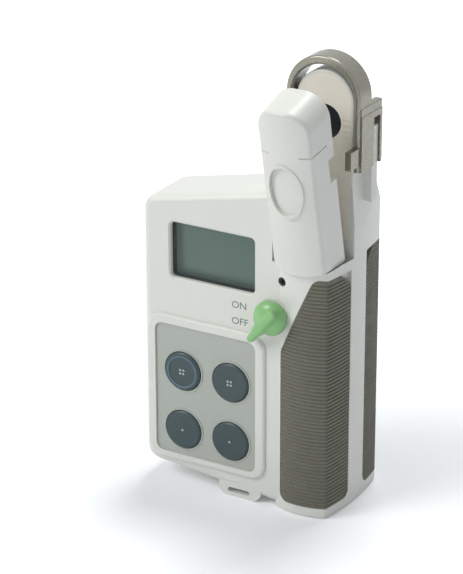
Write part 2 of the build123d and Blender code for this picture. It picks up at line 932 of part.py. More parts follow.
with BuildPart() as rotary_switch:
    switch_x = (knob_x - half_switch, knob_x + half_switch)
    switch_z = (knob_z - half_switch, knob_z + half_switch)
    block(switch_x, (switch_front, board_front), switch_z)
    with BuildSketch(facing_front(board_front - switch_floor)):
        with Locations((knob_x, knob_z)):
            Circle(shaft_radius + shaft_clearance)
    extrude(amount=cut_through, mode=Mode.SUBTRACT)

with BuildPart() as buzzer:
    with BuildSketch(facing_front(board_back + buzzer_height)):
        with Locations((buzzer_x, buzzer_z)):
            Circle(buzzer_radius)
    extrude(amount=buzzer_height)

# Power knob: domed skirt with a stepped lever, on a shaft
knob_back = display_face - boss_height - knob_gap
with BuildPart() as power_knob:
    with BuildSketch(facing_front(knob_back)):
        with Locations((knob_x, knob_z)):
            Circle(knob_radius)
    extrude(amount=knob_skirt + knob_dome)
    fillet(power_knob.faces().sort_by(Axis.Y)[0].edges(), knob_dome - knob_flat)
    lever_plane = Plane(
        origin=(knob_x, knob_back, knob_z),
        x_dir=(cos(radians(lever_angle)), 0, sin(radians(lever_angle))),
        z_dir=(0, -1, 0),
    )
    with BuildSketch(lever_plane.offset(knob_skirt + lever_tip_rise)):
        with Locations((lever_length / 2, 0)):
            RectangleRounded(lever_length, lever_tip_width, lever_tip_round)
    extrude(amount=lever_tip_height)
    with BuildSketch(lever_plane.offset(knob_skirt + lever_rise)):
        with Locations((lever_step / 2, 0)):
            RectangleRounded(lever_step, lever_width, lever_round)
    extrude(amount=knob_dome - lever_tip_rise)
    with BuildSketch(facing_front(knob_back)):
        with Locations((knob_x, knob_z)):
            Circle(stub_radius + stub_clearance)
    extrude(amount=stub_height + stub_end_gap, mode=Mode.SUBTRACT)

with BuildPart() as knob_shaft:
    shaft_back = board_front - shaft_end
    with BuildSketch(facing_front(shaft_back)):
        with Locations((knob_x, knob_z)):
            Circle(shaft_radius)
    extrude(amount=shaft_back - knob_back)
    with BuildSketch(facing_front(knob_back)):
        with Locations((knob_x, knob_z)):
            Circle(stub_radius)
    extrude(amount=stub_height)

# Grip pads: a skin of the column inside each pad's outline
with BuildPart() as pad_skin:
    with BuildSketch(facing_up(pad_bottom - 1)):
        add(column_outline(0))
        add(column_outline(pad_thickness), mode=Mode.SUBTRACT)
    extrude(amount=rear_pad_top + 1 - pad_bottom)

front_pad_form = front_pad_reach(0, 3.0)
with BuildPart() as front_grip_pad:
    add(pad_skin.part)
    add(front_pad_form, mode=Mode.INTERSECT)

rear_pad_form = rear_pad_reach(0, 3.0)
with BuildPart() as rear_grip_pad:
    add(pad_skin.part)
    add(rear_pad_form, mode=Mode.INTERSECT)

# Battery tray, cells, contacts and sliding door
cell_x = (bay_x - cell_pitch / 2, bay_x + cell_pitch / 2)
bay_top = bay_bottom + cell_length + cell_spring
with BuildPart() as battery_tray:
    tray_x = (cell_x[0] - cell_radius - tray_wall, cell_x[1] + cell_radius + tray_wall)
    tray_z = (bay_bottom - contact_thickness - tray_wall, bay_top + contact_thickness + tray_wall)
    block(tray_x, (tray_front, tray_back), tray_z)
    with BuildSketch(facing_up(bay_bottom - contact_thickness)):
        with Locations((cell_x[0], cell_y), (cell_x[1], cell_y)):
            Circle(cell_radius + cell_clearance)
    extrude(amount=bay_top - bay_bottom + 2 * contact_thickness, mode=Mode.SUBTRACT)

with BuildPart() as battery_cells:
    with BuildSketch(facing_up(bay_bottom + cell_spring)):
        with Locations((cell_x[0], cell_y)):
            Circle(cell_radius)
    extrude(amount=cell_length - cell_nub)
    with BuildSketch(facing_up(bay_bottom + cell_spring)):
        with Locations((cell_x[0], cell_y)):
            Circle(cell_nub_radius)
    extrude(amount=cell_length)
    with BuildSketch(facing_up(bay_bottom + cell_nub)):
        with Locations((cell_x[1], cell_y)):
            Circle(cell_radius)
    extrude(amount=cell_length - cell_nub)
    with BuildSketch(facing_up(bay_bottom)):
        with Locations((cell_x[1], cell_y)):
            Circle(cell_nub_radius)
    extrude(amount=cell_length)

with BuildPart() as battery_contacts:
    for base in (bay_bottom - contact_thickness, bay_top):
        with BuildSketch(facing_up(base)):
            with Locations((cell_x[0], cell_y), (cell_x[1], cell_y)):
                Circle(cell_radius - contact_rim)
        extrude(amount=contact_thickness)
    with BuildSketch(facing_up(bay_bottom)):
        with Locations((cell_x[0], cell_y)):
            Circle(contact_ring_radius)
            Circle(contact_ring_bore, mode=Mode.SUBTRACT)
    extrude(amount=cell_spring)
    with BuildSketch(facing_up(bay_top - cell_spring)):
        with Locations((cell_x[1], cell_y)):
            Circle(contact_ring_radius)
            Circle(contact_ring_bore, mode=Mode.SUBTRACT)
    extrude(amount=cell_spring)

with BuildPart() as battery_door:
    add(body_form.part)
    door_y = (body_back - door_thickness, body_back + cut_over)
    block((door_left, door_right), door_y, (-cut_over, door_top), Mode.INTERSECT)
    with BuildSketch(facing_front(body_back + cut_over)):
        with Locations((bay_x, door_grip_z)):
            with GridLocations(0, door_grip_pitch, 1, door_grip_count):
                SlotOverall(door_grip_length, door_grip_width)
    extrude(amount=cut_over + door_grip_depth, mode=Mode.SUBTRACT)

# Hinge pin and return spring
with BuildPart() as hinge_pin:
    with BuildSketch(facing_side(ear_left + pin_end_gap)):
        with Locations((hinge_y, hinge_z)):
            Circle(pin_radius)
    extrude(amount=ear_right + ear_width - pin_hole_end - pin_end_gap - ear_left)

with BuildPart() as head_spring:
    with BuildSketch(facing_side(ear_inner + spring_end_gap)):
        with Locations((hinge_y, hinge_z)):
            Circle(spring_radius + spring_wire)
            Circle(spring_radius - spring_wire, mode=Mode.SUBTRACT)
    extrude(amount=tongue_left - ear_inner - spring_end_gap - spring_far_gap)

# Screws
with BuildPart() as case_screws:
    screw_seat = body_back - screw_counterbore
    with BuildSketch(facing_front(screw_seat + screw_head_depth)):
        with Locations(*screw_places):
            Circle(screw_head)
    extrude(amount=screw_head_depth)
    with BuildSketch(facing_front(screw_seat)):
        with Locations(*screw_places):
            Circle(screw_radius)
    extrude(amount=screw_seat - screw_tip)
    with BuildSketch(facing_front(screw_seat + screw_head_depth)):
        with Locations(*screw_places):
            RegularPolygon(screw_drive_radius, 6)
    extrude(amount=screw_drive_depth, mode=Mode.SUBTRACT)

with BuildPart() as front_screw:
    with BuildSketch(facing_front(front_screw_recess)):
        with Locations((front_screw_x, front_screw_z)):
            Circle(front_screw_head)
    extrude(amount=front_screw_head_depth)
    with BuildSketch(facing_front(front_screw_tip)):
        with Locations((front_screw_x, front_screw_z)):
            Circle(front_screw_radius)
    extrude(amount=front_screw_tip - front_screw_recess)

# Measuring head form in its own leaning planes
with BuildPart() as shoulder_clear:
    with BuildSketch(facing_front(arm_front)):
        with BuildLine():
            low_edge = shoulder_z + shoulder_rise + head_gap
            low_middle = shoulder_z + head_gap
            ThreePointArc((pocket_left, low_edge), (grip_x, low_middle), (grip_x + reach, low_edge))
            Polyline(
                (grip_x + reach, low_edge),
                (grip_x + 3 * reach, low_edge),
                (grip_x + 3 * reach, low_edge - head_sweep),
                (grip_x - 3 * reach, low_edge - head_sweep),
                (grip_x - 3 * reach, low_edge),
                (pocket_left, low_edge),
            )
        make_face()
    extrude(amount=head_sweep)

hinge_axis = Axis((0, hinge_y, hinge_z), (1, 0, 0))


def head_arch(half_width, bottom, top, corner):
    """Front view of the head: straight sides and a top with large rounded corners."""
    with BuildSketch() as outline:
        with Locations((grip_x, (bottom + top) / 2)):
            Rectangle(2 * half_width, top - bottom)
        fillet(outline.vertices().group_by(Axis.Y)[-1], corner)
    return outline.sketch


def head_bow_form(inset):
    """Everything behind the head's bowed front, set in by the inset."""
    with BuildPart() as form:
        with BuildSketch(across_head(-5)):
            with BuildLine():
                side = head_half_width + 4
                radius = head_bow - inset
                bow_back = radius - (radius**2 - side**2) ** 0.5 - head_front + inset
                bow_middle = (grip_x, inset - head_front)
                ThreePointArc((grip_x - side, bow_back), bow_middle, (grip_x + side, bow_back))
                Polyline(
                    (grip_x + side, bow_back),
                    (grip_x + side, -head_back + 1),
                    (grip_x - side, -head_back + 1),
                    (grip_x - side, bow_back),
                )
            make_face()
        extrude(amount=head_top + 10)
    return form.part


def head_oval(grow):
    """Oval prism of the finger rest, larger or smaller all round."""
    with BuildPart() as oval:
        with BuildSketch(facing_head(head_front - 6)):
            with Locations((grip_x + rest_x, rest_height)):
                Ellipse(rest_half_width + grow, rest_half_height + grow)
        extrude(amount=9)
    return oval.part


with BuildPart() as head_form:
    with BuildSketch(facing_head(head_back)):
        add(head_arch(head_half_width, -2, head_top, head_corner))
    extrude(amount=head_front + 2 - head_back, taper=head_taper)
    add(head_bow_form(0), mode=Mode.INTERSECT)
    front_faces = head_form.faces().filter_by(GeomType.CYLINDER).sort_by(Axis.Y)[0]
    fillet(front_faces.edges().filter_by(lambda edge: edge.center().Z > shoulder_z), head_round)
    back_face = head_form.faces().filter_by(GeomType.PLANE).sort_by(SortBy.AREA)[-1]
    chamfer(back_face.edges().filter_by(lambda edge: edge.center().Z > shoulder_z), head_back_edge)
    add(shoulder_clear.part, mode=Mode.SUBTRACT)
    add(shoulder_clear.part.rotate(hinge_axis, head_lean), mode=Mode.SUBTRACT)

with BuildPart() as head_hollow:
    with BuildSketch(facing_head(head_parting)):
        inner_width = head_half_width - head_wall - head_parting_taper
        inner_top = head_top - head_wall - head_parting_taper
        add(head_arch(inner_width, head_floor, inner_top, head_corner - head_wall))
    extrude(amount=head_front - head_parting, taper=head_taper)
    add(head_bow_form(head_front_wall), mode=Mode.INTERSECT)
    with BuildSketch(facing_head(head_back + head_wall)):
        add(head_arch(inner_half_width, head_floor, head_top - head_wall - 1, 4))
    extrude(amount=head_parting - head_back - head_wall)

with BuildPart() as finger_rim:
    add(head_oval(0))
    add(head_bow_form(-rest_proud), mode=Mode.INTERSECT)

with BuildPart() as finger_dish:
    add(head_oval(-rest_rim))
    add(head_bow_form(rest_depth - rest_proud), mode=Mode.SUBTRACT)

with BuildPart() as centre_line:
    with BuildSketch(across_head(measure_height - line_width / 2)):
        with Locations((grip_x, -head_parting - head_front)):
            Rectangle(3 * head_half_width, 2 * head_front)
    extrude(amount=line_width)
    with BuildSketch(across_head(measure_height - 1)):
        with BuildLine():
            narrow = head_half_width - head_taper_at_front - line_depth
            wide = head_half_width - line_depth
            Polyline(
                (grip_x - wide, -head_back),
                (grip_x - narrow, -head_front - 1),
                (grip_x + narrow, -head_front - 1),
                (grip_x + wide, -head_back),
                close=True,
            )
        make_face()
        with BuildSketch(mode=Mode.INTERSECT):
            with Locations((grip_x, -head_front + line_depth + head_bow)):
                Circle(head_bow)
        with Locations((grip_x, -head_front)):
            Rectangle(2 * line_start, head_front)
    extrude(amount=2, mode=Mode.SUBTRACT)

with BuildPart() as behind_parting:
    with BuildSketch(facing_head(head_parting)):
        with Locations((grip_x, head_top / 2)):
            Rectangle(4 * head_half_width, 2 * head_top)
    extrude(amount=-30)

with BuildPart() as head_outer_shell:
    add(head_form.part)
    add(finger_rim.part)
    add(head_hollow.part, mode=Mode.SUBTRACT)
    add(finger_dish.part, mode=Mode.SUBTRACT)
    add(centre_line.part, mode=Mode.SUBTRACT)
    add(behind_parting.part, mode=Mode.SUBTRACT)

with BuildPart() as head_inner_shell:
    add(head_form.part)
    add(behind_parting.part, mode=Mode.INTERSECT)
    add(head_hollow.part, mode=Mode.SUBTRACT)
    with BuildSketch(facing_head(head_back - 1)):
        with Locations((grip_x, (notch_bottom + notch_top) / 2)):
            with GridLocations(4 * head_half_width - 2 * notch_width, 0, 2, 1):
                Rectangle(2 * head_half_width, notch_top - notch_bottom)
    extrude(amount=1 + notch_depth, mode=Mode.SUBTRACT)
    with BuildSketch(facing_head(head_back)):
        with Locations((grip_x, measure_height)):
            Circle(lamp_window_radius)
    extrude(amount=head_wall, mode=Mode.SUBTRACT)
    with BuildSketch(facing_head(head_back)):
        with Locations((grip_x, measure_height)):
            Circle(emitter_radius + close_fit)
    extrude(amount=window_thickness, mode=Mode.SUBTRACT)
    with BuildSketch(facing_head(head_back + head_wall)):
        with Locations((grip_x, measure_height)):
            with GridLocations(lamp_post_x, lamp_post_z, 2, 2):
                Circle(lamp_post_radius)
    extrude(amount=lamp_height)
    with BuildSketch(facing_side(tongue_left)):
        with Locations((hinge_y, hinge_z)):
            Circle(tongue_radius)
    extrude(amount=tongue_right - tongue_left)
    with BuildSketch(facing_head(tongue_back)):
        with Locations(((tongue_left + tongue_right) / 2, tongue_root / 2)):
            Rectangle(tongue_right - tongue_left, tongue_root)
    extrude(amount=tongue_front - tongue_back)
    with BuildSketch(facing_side(tongue_left)):
        with Locations((hinge_y, hinge_z)):
            Circle(pin_radius + pin_clearance)
    extrude(amount=tongue_right - tongue_left, mode=Mode.SUBTRACT)

# Light source in the head
with BuildPart() as emitter_window:
    with BuildSketch(facing_head(head_back)):
        with Locations((grip_x, measure_height)):
            Circle(emitter_radius)
    extrude(amount=window_thickness)

with BuildPart() as emitter_seal:
    with BuildSketch(facing_head(head_back - seal_proud)):
        with Locations((grip_x, measure_height)):
            Circle(emitter_radius + seal_rim)
            Circle(emitter_radius + seal_gap, mode=Mode.SUBTRACT)
    extrude(amount=seal_proud)

lamp_back = head_back + head_wall + lamp_height
with BuildPart() as led_board:
    with BuildSketch(facing_head(lamp_back)):
        with Locations((grip_x, measure_height)):
            Rectangle(2 * inner_half_width - 2 * lamp_board_gap, lamp_board_height)
    extrude(amount=small_board)

with BuildPart() as emitter_leds:
    with BuildSketch(facing_head(head_back + head_wall)):
        with Locations((grip_x, measure_height)):
            with GridLocations(lamp_spacing, 0, 2, 1):
                Circle(lamp_radius)
    extrude(amount=lamp_height)

# Receptor in the rear arm
with BuildPart() as receptor_face:
    with BuildSketch(facing_front(arm_front + face_thickness)):
        face_edge = face_inset + close_fit
        add(arch_outline(arm_half_width - face_edge, face_bottom + close_fit, arm_top - face_edge))
        with Locations((grip_x, receptor_z)):
            Circle(receptor_radius, mode=Mode.SUBTRACT)
    extrude(amount=face_thickness)
    with BuildSketch(facing_front(arm_front + graduation_depth)):
        with Locations((grip_x + arm_half_width - face_inset, receptor_z - graduation_drop)):
            with GridLocations(2 * graduation_length, graduation_pitch, 1, graduation_count):
                Rectangle(2 * graduation_length, graduation_width)
    extrude(amount=cut_over, mode=Mode.SUBTRACT)

with BuildPart() as receptor_window:
    with BuildSketch(facing_front(arm_front + receptor_window_thickness)):
        with Locations((grip_x, receptor_z)):
            Circle(receptor_radius - close_fit)
    extrude(amount=receptor_window_thickness)

with BuildPart() as photodiode:
    with BuildSketch(facing_front(receptor_board_front)):
        with Locations((grip_x, receptor_z)):
            Circle(diode_radius)
    extrude(amount=diode_height - close_fit)

with BuildPart() as receptor_board:
    board_x = (grip_x - receptor_board_half, grip_x + receptor_board_half)
    board_z = (receptor_board_bottom, receptor_board_top)
    block(board_x, (receptor_board_front, receptor_board_front + small_board), board_z)
    chamfer(receptor_board.edges().filter_by(Axis.Y).group_by(Axis.Z)[-1], receptor_board_corner)

with BuildPart() as click_spring:
    with BuildSketch(facing_front(click_back)):
        with BuildLine():
            low = click_middle - click_half_length
            high = click_middle + click_half_length
            inner_face = grip_x + arm_half_width - click_pocket
            outer_face = inner_face + click_thickness
            inner_middle = (click_reach - click_thickness, click_middle)
            ThreePointArc((inner_face, low), inner_middle, (inner_face, high))
            Line((inner_face, high), (outer_face, high))
            ThreePointArc((outer_face, high), (click_reach, click_middle), (outer_face, low))
            Line((outer_face, low), (inner_face, low))
        make_face()
    extrude(amount=click_back - click_front)

# Depth stopper: an arch over the rear arm with a block that rides on the rail
stopper_inner = stopper_half_width - stopper_wall
with BuildPart() as depth_stopper:
    with BuildSketch(facing_front(stopper_front + stopper_depth)):
        add(arch_outline(stopper_half_width, stopper_bottom, stopper_top))
        add(arch_outline(stopper_inner, stopper_bottom - 1, stopper_top - stopper_crown), mode=Mode.SUBTRACT)
    extrude(amount=stopper_depth)
    rim = depth_stopper.faces().sort_by(Axis.Y)[0].edges()
    fillet(rim.filter_by(lambda edge: edge.center().Z > stopper_bottom + 1), stopper_round)
    inner_side = grip_x + stopper_inner
    with BuildSketch(facing_front(block_back)):
        with BuildLine():
            Polyline(
                (inner_side, stopper_bottom),
                (stopper_side, stopper_bottom),
                (stopper_side, block_step - block_step_width),
                (stopper_side - block_step_width, block_step),
                (stopper_side - block_step_width, block_top - block_step_width),
                (stopper_side - 2 * block_step_width, block_top),
                (inner_side, block_top),
                close=True,
            )
        make_face()
    extrude(amount=block_back - stopper_front - stopper_round)
    rail_slot = (rail_front - rail_clearance, rail_back + rail_clearance)
    slot_z = (stopper_bottom - 1, rail_top + slot_above_rail)
    block((inner_side - 1, stopper_side + 1), rail_slot, slot_z, Mode.SUBTRACT)
    lug_outer = grip_x + stopper_half_width
    lug_y = (lug_front, stopper_front + stopper_round)
    block((inner_side, lug_outer), lug_y, (lug_bottom, lug_top))
    block((2 * grip_x - lug_outer, 2 * grip_x - inner_side), lug_y, (lug_bottom, lug_top))

with BuildPart() as housing_seal:
    with BuildSketch(facing_front(parting_y)):
        add(body_outline(seal_right, seal_inset))
        add(body_outline(seal_right + 2 * close_fit, seal_inset + seal_width), mode=Mode.SUBTRACT)
    extrude(amount=seal_depth - close_fit)

front_cover.part.label = "front_cover"
export_step(front_cover.part, "parts/front_cover.step")
rear_cover.part.label = "rear_cover"
export_step(rear_cover.part, "parts/rear_cover.step")
display_window.part.label = "display_window"
export_step(display_window.part, "parts/display_window.step")
lcd_holder.part.label = "lcd_holder"
export_step(lcd_holder.part, "parts/lcd_holder.step")
lcd_panel.part.label = "lcd_panel"
export_step(lcd_panel.part, "parts/lcd_panel.step")
key_label.part.label = "key_label"
export_step(key_label.part, "parts/key_label.step")
average_key.part.label = "average_key"
export_step(average_key.part, "parts/average_key.step")
clear_key.part.label = "clear_key"
export_step(clear_key.part, "parts/clear_key.step")
recall_key.part.label = "recall_key"
export_step(recall_key.part, "parts/recall_key.step")
delete_key.part.label = "delete_key"
export_step(delete_key.part, "parts/delete_key.step")
key_mat.part.label = "key_mat"
export_step(key_mat.part, "parts/key_mat.step")
main_board.part.label = "main_board"
export_step(main_board.part, "parts/main_board.step")
rotary_switch.part.label = "rotary_switch"
export_step(rotary_switch.part, "parts/rotary_switch.step")
buzzer.part.label = "buzzer"
export_step(buzzer.part, "parts/buzzer.step")
power_knob.part.label = "power_knob"
export_step(power_knob.part, "parts/power_knob.step")
knob_shaft.part.label = "knob_shaft"
export_step(knob_shaft.part, "parts/knob_shaft.step")
front_grip_pad.part.label = "front_grip_pad"
export_step(front_grip_pad.part, "parts/front_grip_pad.step")
rear_grip_pad.part.label = "rear_grip_pad"
export_step(rear_grip_pad.part, "parts/rear_grip_pad.step")
battery_tray.part.label = "battery_tray"
export_step(battery_tray.part, "parts/battery_tray.step")
battery_cells.part.label = "battery_cells"
export_step(battery_cells.part, "parts/battery_cells.step")
battery_contacts.part.label = "battery_contacts"
export_step(battery_contacts.part, "parts/battery_contacts.step")
battery_door.part.label = "battery_door"
export_step(battery_door.part, "parts/battery_door.step")
hinge_pin.part.label = "hinge_pin"
export_step(hinge_pin.part, "parts/hinge_pin.step")
head_spring.part.label = "head_spring"
export_step(head_spring.part, "parts/head_spring.step")
case_screws.part.label = "case_screws"
export_step(case_screws.part, "parts/case_screws.step")
front_screw.part.label = "front_screw"
export_step(front_screw.part, "parts/front_screw.step")
head_outer_shell.part.label = "head_outer_shell"
export_step(head_outer_shell.part, "parts/head_outer_shell.step")
head_inner_shell.part.label = "head_inner_shell"
export_step(head_inner_shell.part, "parts/head_inner_shell.step")
emitter_window.part.label = "emitter_window"
export_step(emitter_window.part, "parts/emitter_window.step")
emitter_seal.part.label = "emitter_seal"
export_step(emitter_seal.part, "parts/emitter_seal.step")
led_board.part.label = "led_board"
export_step(led_board.part, "parts/led_board.step")
emitter_leds.part.label = "emitter_leds"
export_step(emitter_leds.part, "parts/emitter_leds.step")
receptor_face.part.label = "receptor_face"
export_step(receptor_face.part, "parts/receptor_face.step")
receptor_window.part.label = "receptor_window"
export_step(receptor_window.part, "parts/receptor_window.step")
photodiode.part.label = "photodiode"
export_step(photodiode.part, "parts/photodiode.step")
receptor_board.part.label = "receptor_board"
export_step(receptor_board.part, "parts/receptor_board.step")
click_spring.part.label = "click_spring"
export_step(click_spring.part, "parts/click_spring.step")
depth_stopper.part.label = "depth_stopper"
export_step(depth_stopper.part, "parts/depth_stopper.step")
housing_seal.part.label = "housing_seal"
export_step(housing_seal.part, "parts/housing_seal.step")
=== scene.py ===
"""Looks of a hand-held leaf chlorophyll meter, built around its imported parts.

Blender's lengths are in metres and the frame is the parts' own: X to the right, Y to the back, Z up.
The sizes named here are in millimetres unless a comment says otherwise.
"""

from math import cos, pi, radians, sin

import bmesh
import bpy
import numpy as np
from bpy.props import FloatProperty, FloatVectorProperty, IntProperty, PointerProperty, StringProperty
from mathutils import Matrix, Vector


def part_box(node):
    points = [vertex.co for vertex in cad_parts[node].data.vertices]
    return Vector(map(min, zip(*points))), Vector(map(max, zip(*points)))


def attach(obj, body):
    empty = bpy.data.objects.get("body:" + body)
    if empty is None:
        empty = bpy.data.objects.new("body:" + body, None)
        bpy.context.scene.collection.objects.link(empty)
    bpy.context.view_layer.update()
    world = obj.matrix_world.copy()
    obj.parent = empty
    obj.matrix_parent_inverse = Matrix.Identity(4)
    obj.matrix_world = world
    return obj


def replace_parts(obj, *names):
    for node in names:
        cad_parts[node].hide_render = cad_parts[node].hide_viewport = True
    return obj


bl_info = {
    "name": "Leaf chlorophyll meter",
    "version": (1, 0, 0),
    "blender": (4, 5, 0),
    "location": "View3D > Sidebar > Meter",
    "description": "Finishes and fine pieces of a hand-held leaf chlorophyll meter",
    "category": "Object",
}

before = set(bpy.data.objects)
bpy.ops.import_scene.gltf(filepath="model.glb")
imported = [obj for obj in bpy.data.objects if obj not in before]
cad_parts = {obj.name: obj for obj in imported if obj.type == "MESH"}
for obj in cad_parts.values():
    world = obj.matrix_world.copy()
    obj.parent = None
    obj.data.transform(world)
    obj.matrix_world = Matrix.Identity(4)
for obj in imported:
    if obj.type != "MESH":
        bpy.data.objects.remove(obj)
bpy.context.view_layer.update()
MM = 0.001

# Plan of the grip column: the ends and middles of its bowed sides, and the radii of two creases
FRONT_SIDE = ((14.4, -11.6), (24.4, -13.8), (34.4, -11.6))
RIGHT_SIDE = ((34.4, -11.6), (36.4, 5.0), (34.6, 26.0))
BACK_SIDE = ((34.6, 26.0), (24.4, 28.9), (14.2, 26.0))
FRONT_CREASE = 1.0
BACK_CREASE = 3.0
SIDE_POINTS = 400

# Grip pads: the front one starts at its left end and the rear one at its start on the right side
PAD_FOOT = 4.0
PAD_CORNER = 3.4
PAD_SHOULDER = 9.0
FRONT_PAD_PROUD = 0.06
FRONT_PAD_LEFT = 16.8
FRONT_PAD_END = 1.8
FRONT_PAD_TOP = 90.0
REAR_PAD_LEFT = 17.0
REAR_PAD_START = 12.6
REAR_PAD_TOP = 93.5

# Upper edges of the pads: left end, its height, corner, its height, radius of the bends
FRONT_PAD_EDGE = (FRONT_PAD_LEFT, 61.0, 29.76, FRONT_PAD_TOP, PAD_CORNER)
REAR_PAD_EDGE = (REAR_PAD_LEFT, 61.0, 29.4, REAR_PAD_TOP, 0.8)

# What lies in front of the first depth is on the column's front, and behind the second on its back
FRONT_LIMIT = -9.0
BACK_LIMIT = 24.0

# Ribs: shares of the pitch that have a row of points, and how the grooves end
RIB_ROWS = np.array([0.0, 0.2, 0.4, 0.5, 0.56, 0.69, 0.81, 0.94])
PAD_COLUMNS = 96
GROOVE_FLANK = 0.12
BARE_FOOT = 0.35
BARE_TOP = 0.95
GROOVE_RUNOUT = 0.5
END_ROUND = 0.3

# Power knob: a domed skirt, its place, and how far the lever's back is clear of the cover
KNOB_CENTRE = (14.0, 73.5)
KNOB_BACK = -13.75
KNOB_TURN = 231
KNOB_RADIUS = 6.2
KNOB_SKIRT = 1.6
KNOB_DOME = 3.1
LEVER_LIFT = 1.9
LEVER_LIFT_RUN = 0.3
KNOB_ROWS = 44
KNOB_COLUMNS = 160

# Bars across the knob: reach, half width, where the top starts, and the top's height there and at the end
KNOB_BARS = ((8.2, 2.3, -6.0, 6.15, 5.3), (12.2, 1.5, 0.0, 4.3, 4.0))

# Keys: the flat face, and how far in front of it the dots and the higher ring begin
KEY_FRONT = -13.8
DOT_RISE = 0.08
RING_RISE = 0.22

# Words beside the knob: left edge, middle heights, the cover's face, the ink and how far it sinks in
WORD_LEFT = -2.6
UPPER_WORD_HEIGHT = 74.4
LOWER_WORD_HEIGHT = 68.4
WORD_FACE = -12.4
INK_THICKNESS = 0.04
INK_SUNK = 0.01
WORD_STRETCH = 1.06

# Display glass: the heights between which painted shade darkens it towards the top
DISPLAY_SHADE_LOW = 78
DISPLAY_SHADE_HIGH = 101

# Screws: places as (x, z), depths of tip, underside and face, and radii of head, shaft and drive
CASE_SCREW_PLACES = ((-34.2, 14.5), (-34.2, 100.5), (8.4, 109.0), (9.2, 12.0))
CASE_SCREW_DEPTHS = (-6.0, 10.6, 12.4)
CASE_SCREW_RADII = (2.2, 1.0, 1.25)
COLUMN_SCREW_PLACES = ((17.3, 86.8),)
COLUMN_SCREW_DEPTHS = (-3.9, -11.2, -12.3)
COLUMN_SCREW_RADII = (1.55, 0.9, 1.0)
HEAD_ROUND = 0.18
DRIVE_DEPTH_SHARE = 0.62
SCREW_COLUMNS = 64

# Spring: points along each turn and round the wire
TURN_POINTS = 28
WIRE_POINTS = 12

# Welding of doubled points, in metres
WELD_DISTANCE = 2e-6
SLIVER_LENGTH = 1e-6

# Paper sweep, in metres: front end, flat part, where the bend starts, its radius, back, top, half width
PAPER_FRONT = -2.5
PAPER_FLAT = 0.5
PAPER_BEND_START = 1.6
PAPER_BEND = 0.6
PAPER_BACK = 2.2
PAPER_TOP = 2.4
PAPER_HALF_WIDTH = 3

# The paper's glow, which only views and reflections see: strength and distance, first near and then far
# The weaker glow near the object darkens the paper round it: painted shade
PAPER_GLOW = (0.12, 0.05, 0.6, 0.3)

# The world's strength as a light, and as views and reflections see it
WORLD_LIGHT = 0.27
WORLD_SEEN = 1.0

# Lamps: place, target and diameter in metres, and power in watts
LIGHTS = {
    "window_light": ((-0.75, -0.95, 1.05), (0, 0, 0.09), 0.9, 12.5),
    "overhead_light": ((-0.02, 0.4, 1.32), (0, 0, 0.05), 0.45, 8.5),
    "fill_light": ((1.0, -0.5, 0.6), (0, 0, 0.09), 0.6, 0.3),
}

# Camera, as solved from the display opening and the key plate: place in metres, angles in degrees
CAMERA_PLACE = (0.4022, -0.7013, 0.4136)
CAMERA_TURN = 30.45
CAMERA_TILT = 22.62
CAMERA_ROLL = -0.15
CAMERA_LENS = 157.9

# Sockets of a Mix node that mixes colours
FACTOR, FIRST, SECOND, RESULT = 0, 6, 7, 2


def linear(hex_colour):
    """Linear RGBA of an sRGB hex colour: each channel is divided by 12.92 when dark, or raised to 2.4."""
    channels = np.array([int(hex_colour[i : i + 2], 16) / 255 for i in (0, 2, 4)])
    bright = ((channels + 0.055) / 1.055) ** 2.4
    return (*np.where(channels <= 0.04045, channels / 12.92, bright).tolist(), 1.0)


def shaded(colour, factor):
    """The colour with its channels times the factor, held at 1."""
    return tuple(min(1.0, c * factor) for c in colour[:3]) + (1.0,)


def colour_property(name, description, hex_colour):
    """Colour that the user may change, with its default as sRGB hex."""
    return FloatVectorProperty(
        name=name, description=description, subtype="COLOR", size=4, min=0, max=1, default=linear(hex_colour)
    )


def length_property(name, description, default_mm):
    """Length that the user may change, with its default in millimetres."""
    return FloatProperty(name=name, description=description, default=default_mm * 1e-3, unit="LENGTH")


class MeterColours(bpy.types.PropertyGroup):
    """Colours of the meter's finishes."""

    housing: colour_property("Housing", "Moulded housing and measuring head", "E2E3DC")
    face: colour_property("Face plate", "Plate on the rear arm that carries the receptor", "EFE9DC")
    label: colour_property("Key plate", "Plate that surrounds the keys", "B3B8AF")
    keys: colour_property("Keys", "Round keys", "35474A")
    key_dots: colour_property("Key dots", "Raised dots on the keys", "A9B8B8")
    key_ring: colour_property("Key ring", "Raised ring on the averaging key", "4D6874")
    display: colour_property("Display", "Display glass when it is off", "AEC4BA")
    knob: colour_property("Knob", "Power knob", "90C983")
    grips: colour_property("Grips", "Ribbed grips", "6E6D60")
    stopper: colour_property("Depth stopper", "Painted arch over the rear arm", "8E8C80")
    ink: colour_property("Printing", "Printed words beside the knob", "707A70")


class MeterSizes(bpy.types.PropertyGroup):
    """Sizes of the fine pieces."""

    rib_pitch: length_property("Rib pitch", "Distance from rib to rib on the grips", 1.36)
    rib_depth: length_property("Rib depth", "Depth of the grooves between the ribs", 0.38)
    groove_share: FloatProperty(
        name="Groove share", description="Share of the pitch that is groove", default=0.5, subtype="FACTOR"
    )
    pad_thickness: length_property("Grip thickness", "Thickness of the grips", 1.45)
    letter_height: length_property("Letter height", "Height of the words beside the knob", 2.5)
    spring_turns: IntProperty(name="Spring turns", description="Turns of the head's return spring", default=4)
    wire_radius: length_property("Spring wire", "Radius of the spring's wire", 0.3)


class MeterWords(bpy.types.PropertyGroup):
    """Words printed beside the power knob."""

    upper: StringProperty(name="Upper word", description="Word at the knob's upper place", default="ON")
    lower: StringProperty(name="Lower word", description="Word at the knob's lower place", default="OFF")


def add_node(tree, kind, values=None, links=None, **settings):
    """Adds a node, sets its settings and socket values, and links its inputs from (node, output) pairs."""
    node = tree.nodes.new(kind)
    for name, value in settings.items():
        setattr(node, name, value)
    for socket, value in (values or {}).items():
        node.inputs[socket].default_value = value
    for socket, (source, output) in (links or {}).items():
        tree.links.new(source.outputs[output], node.inputs[socket])
    return node


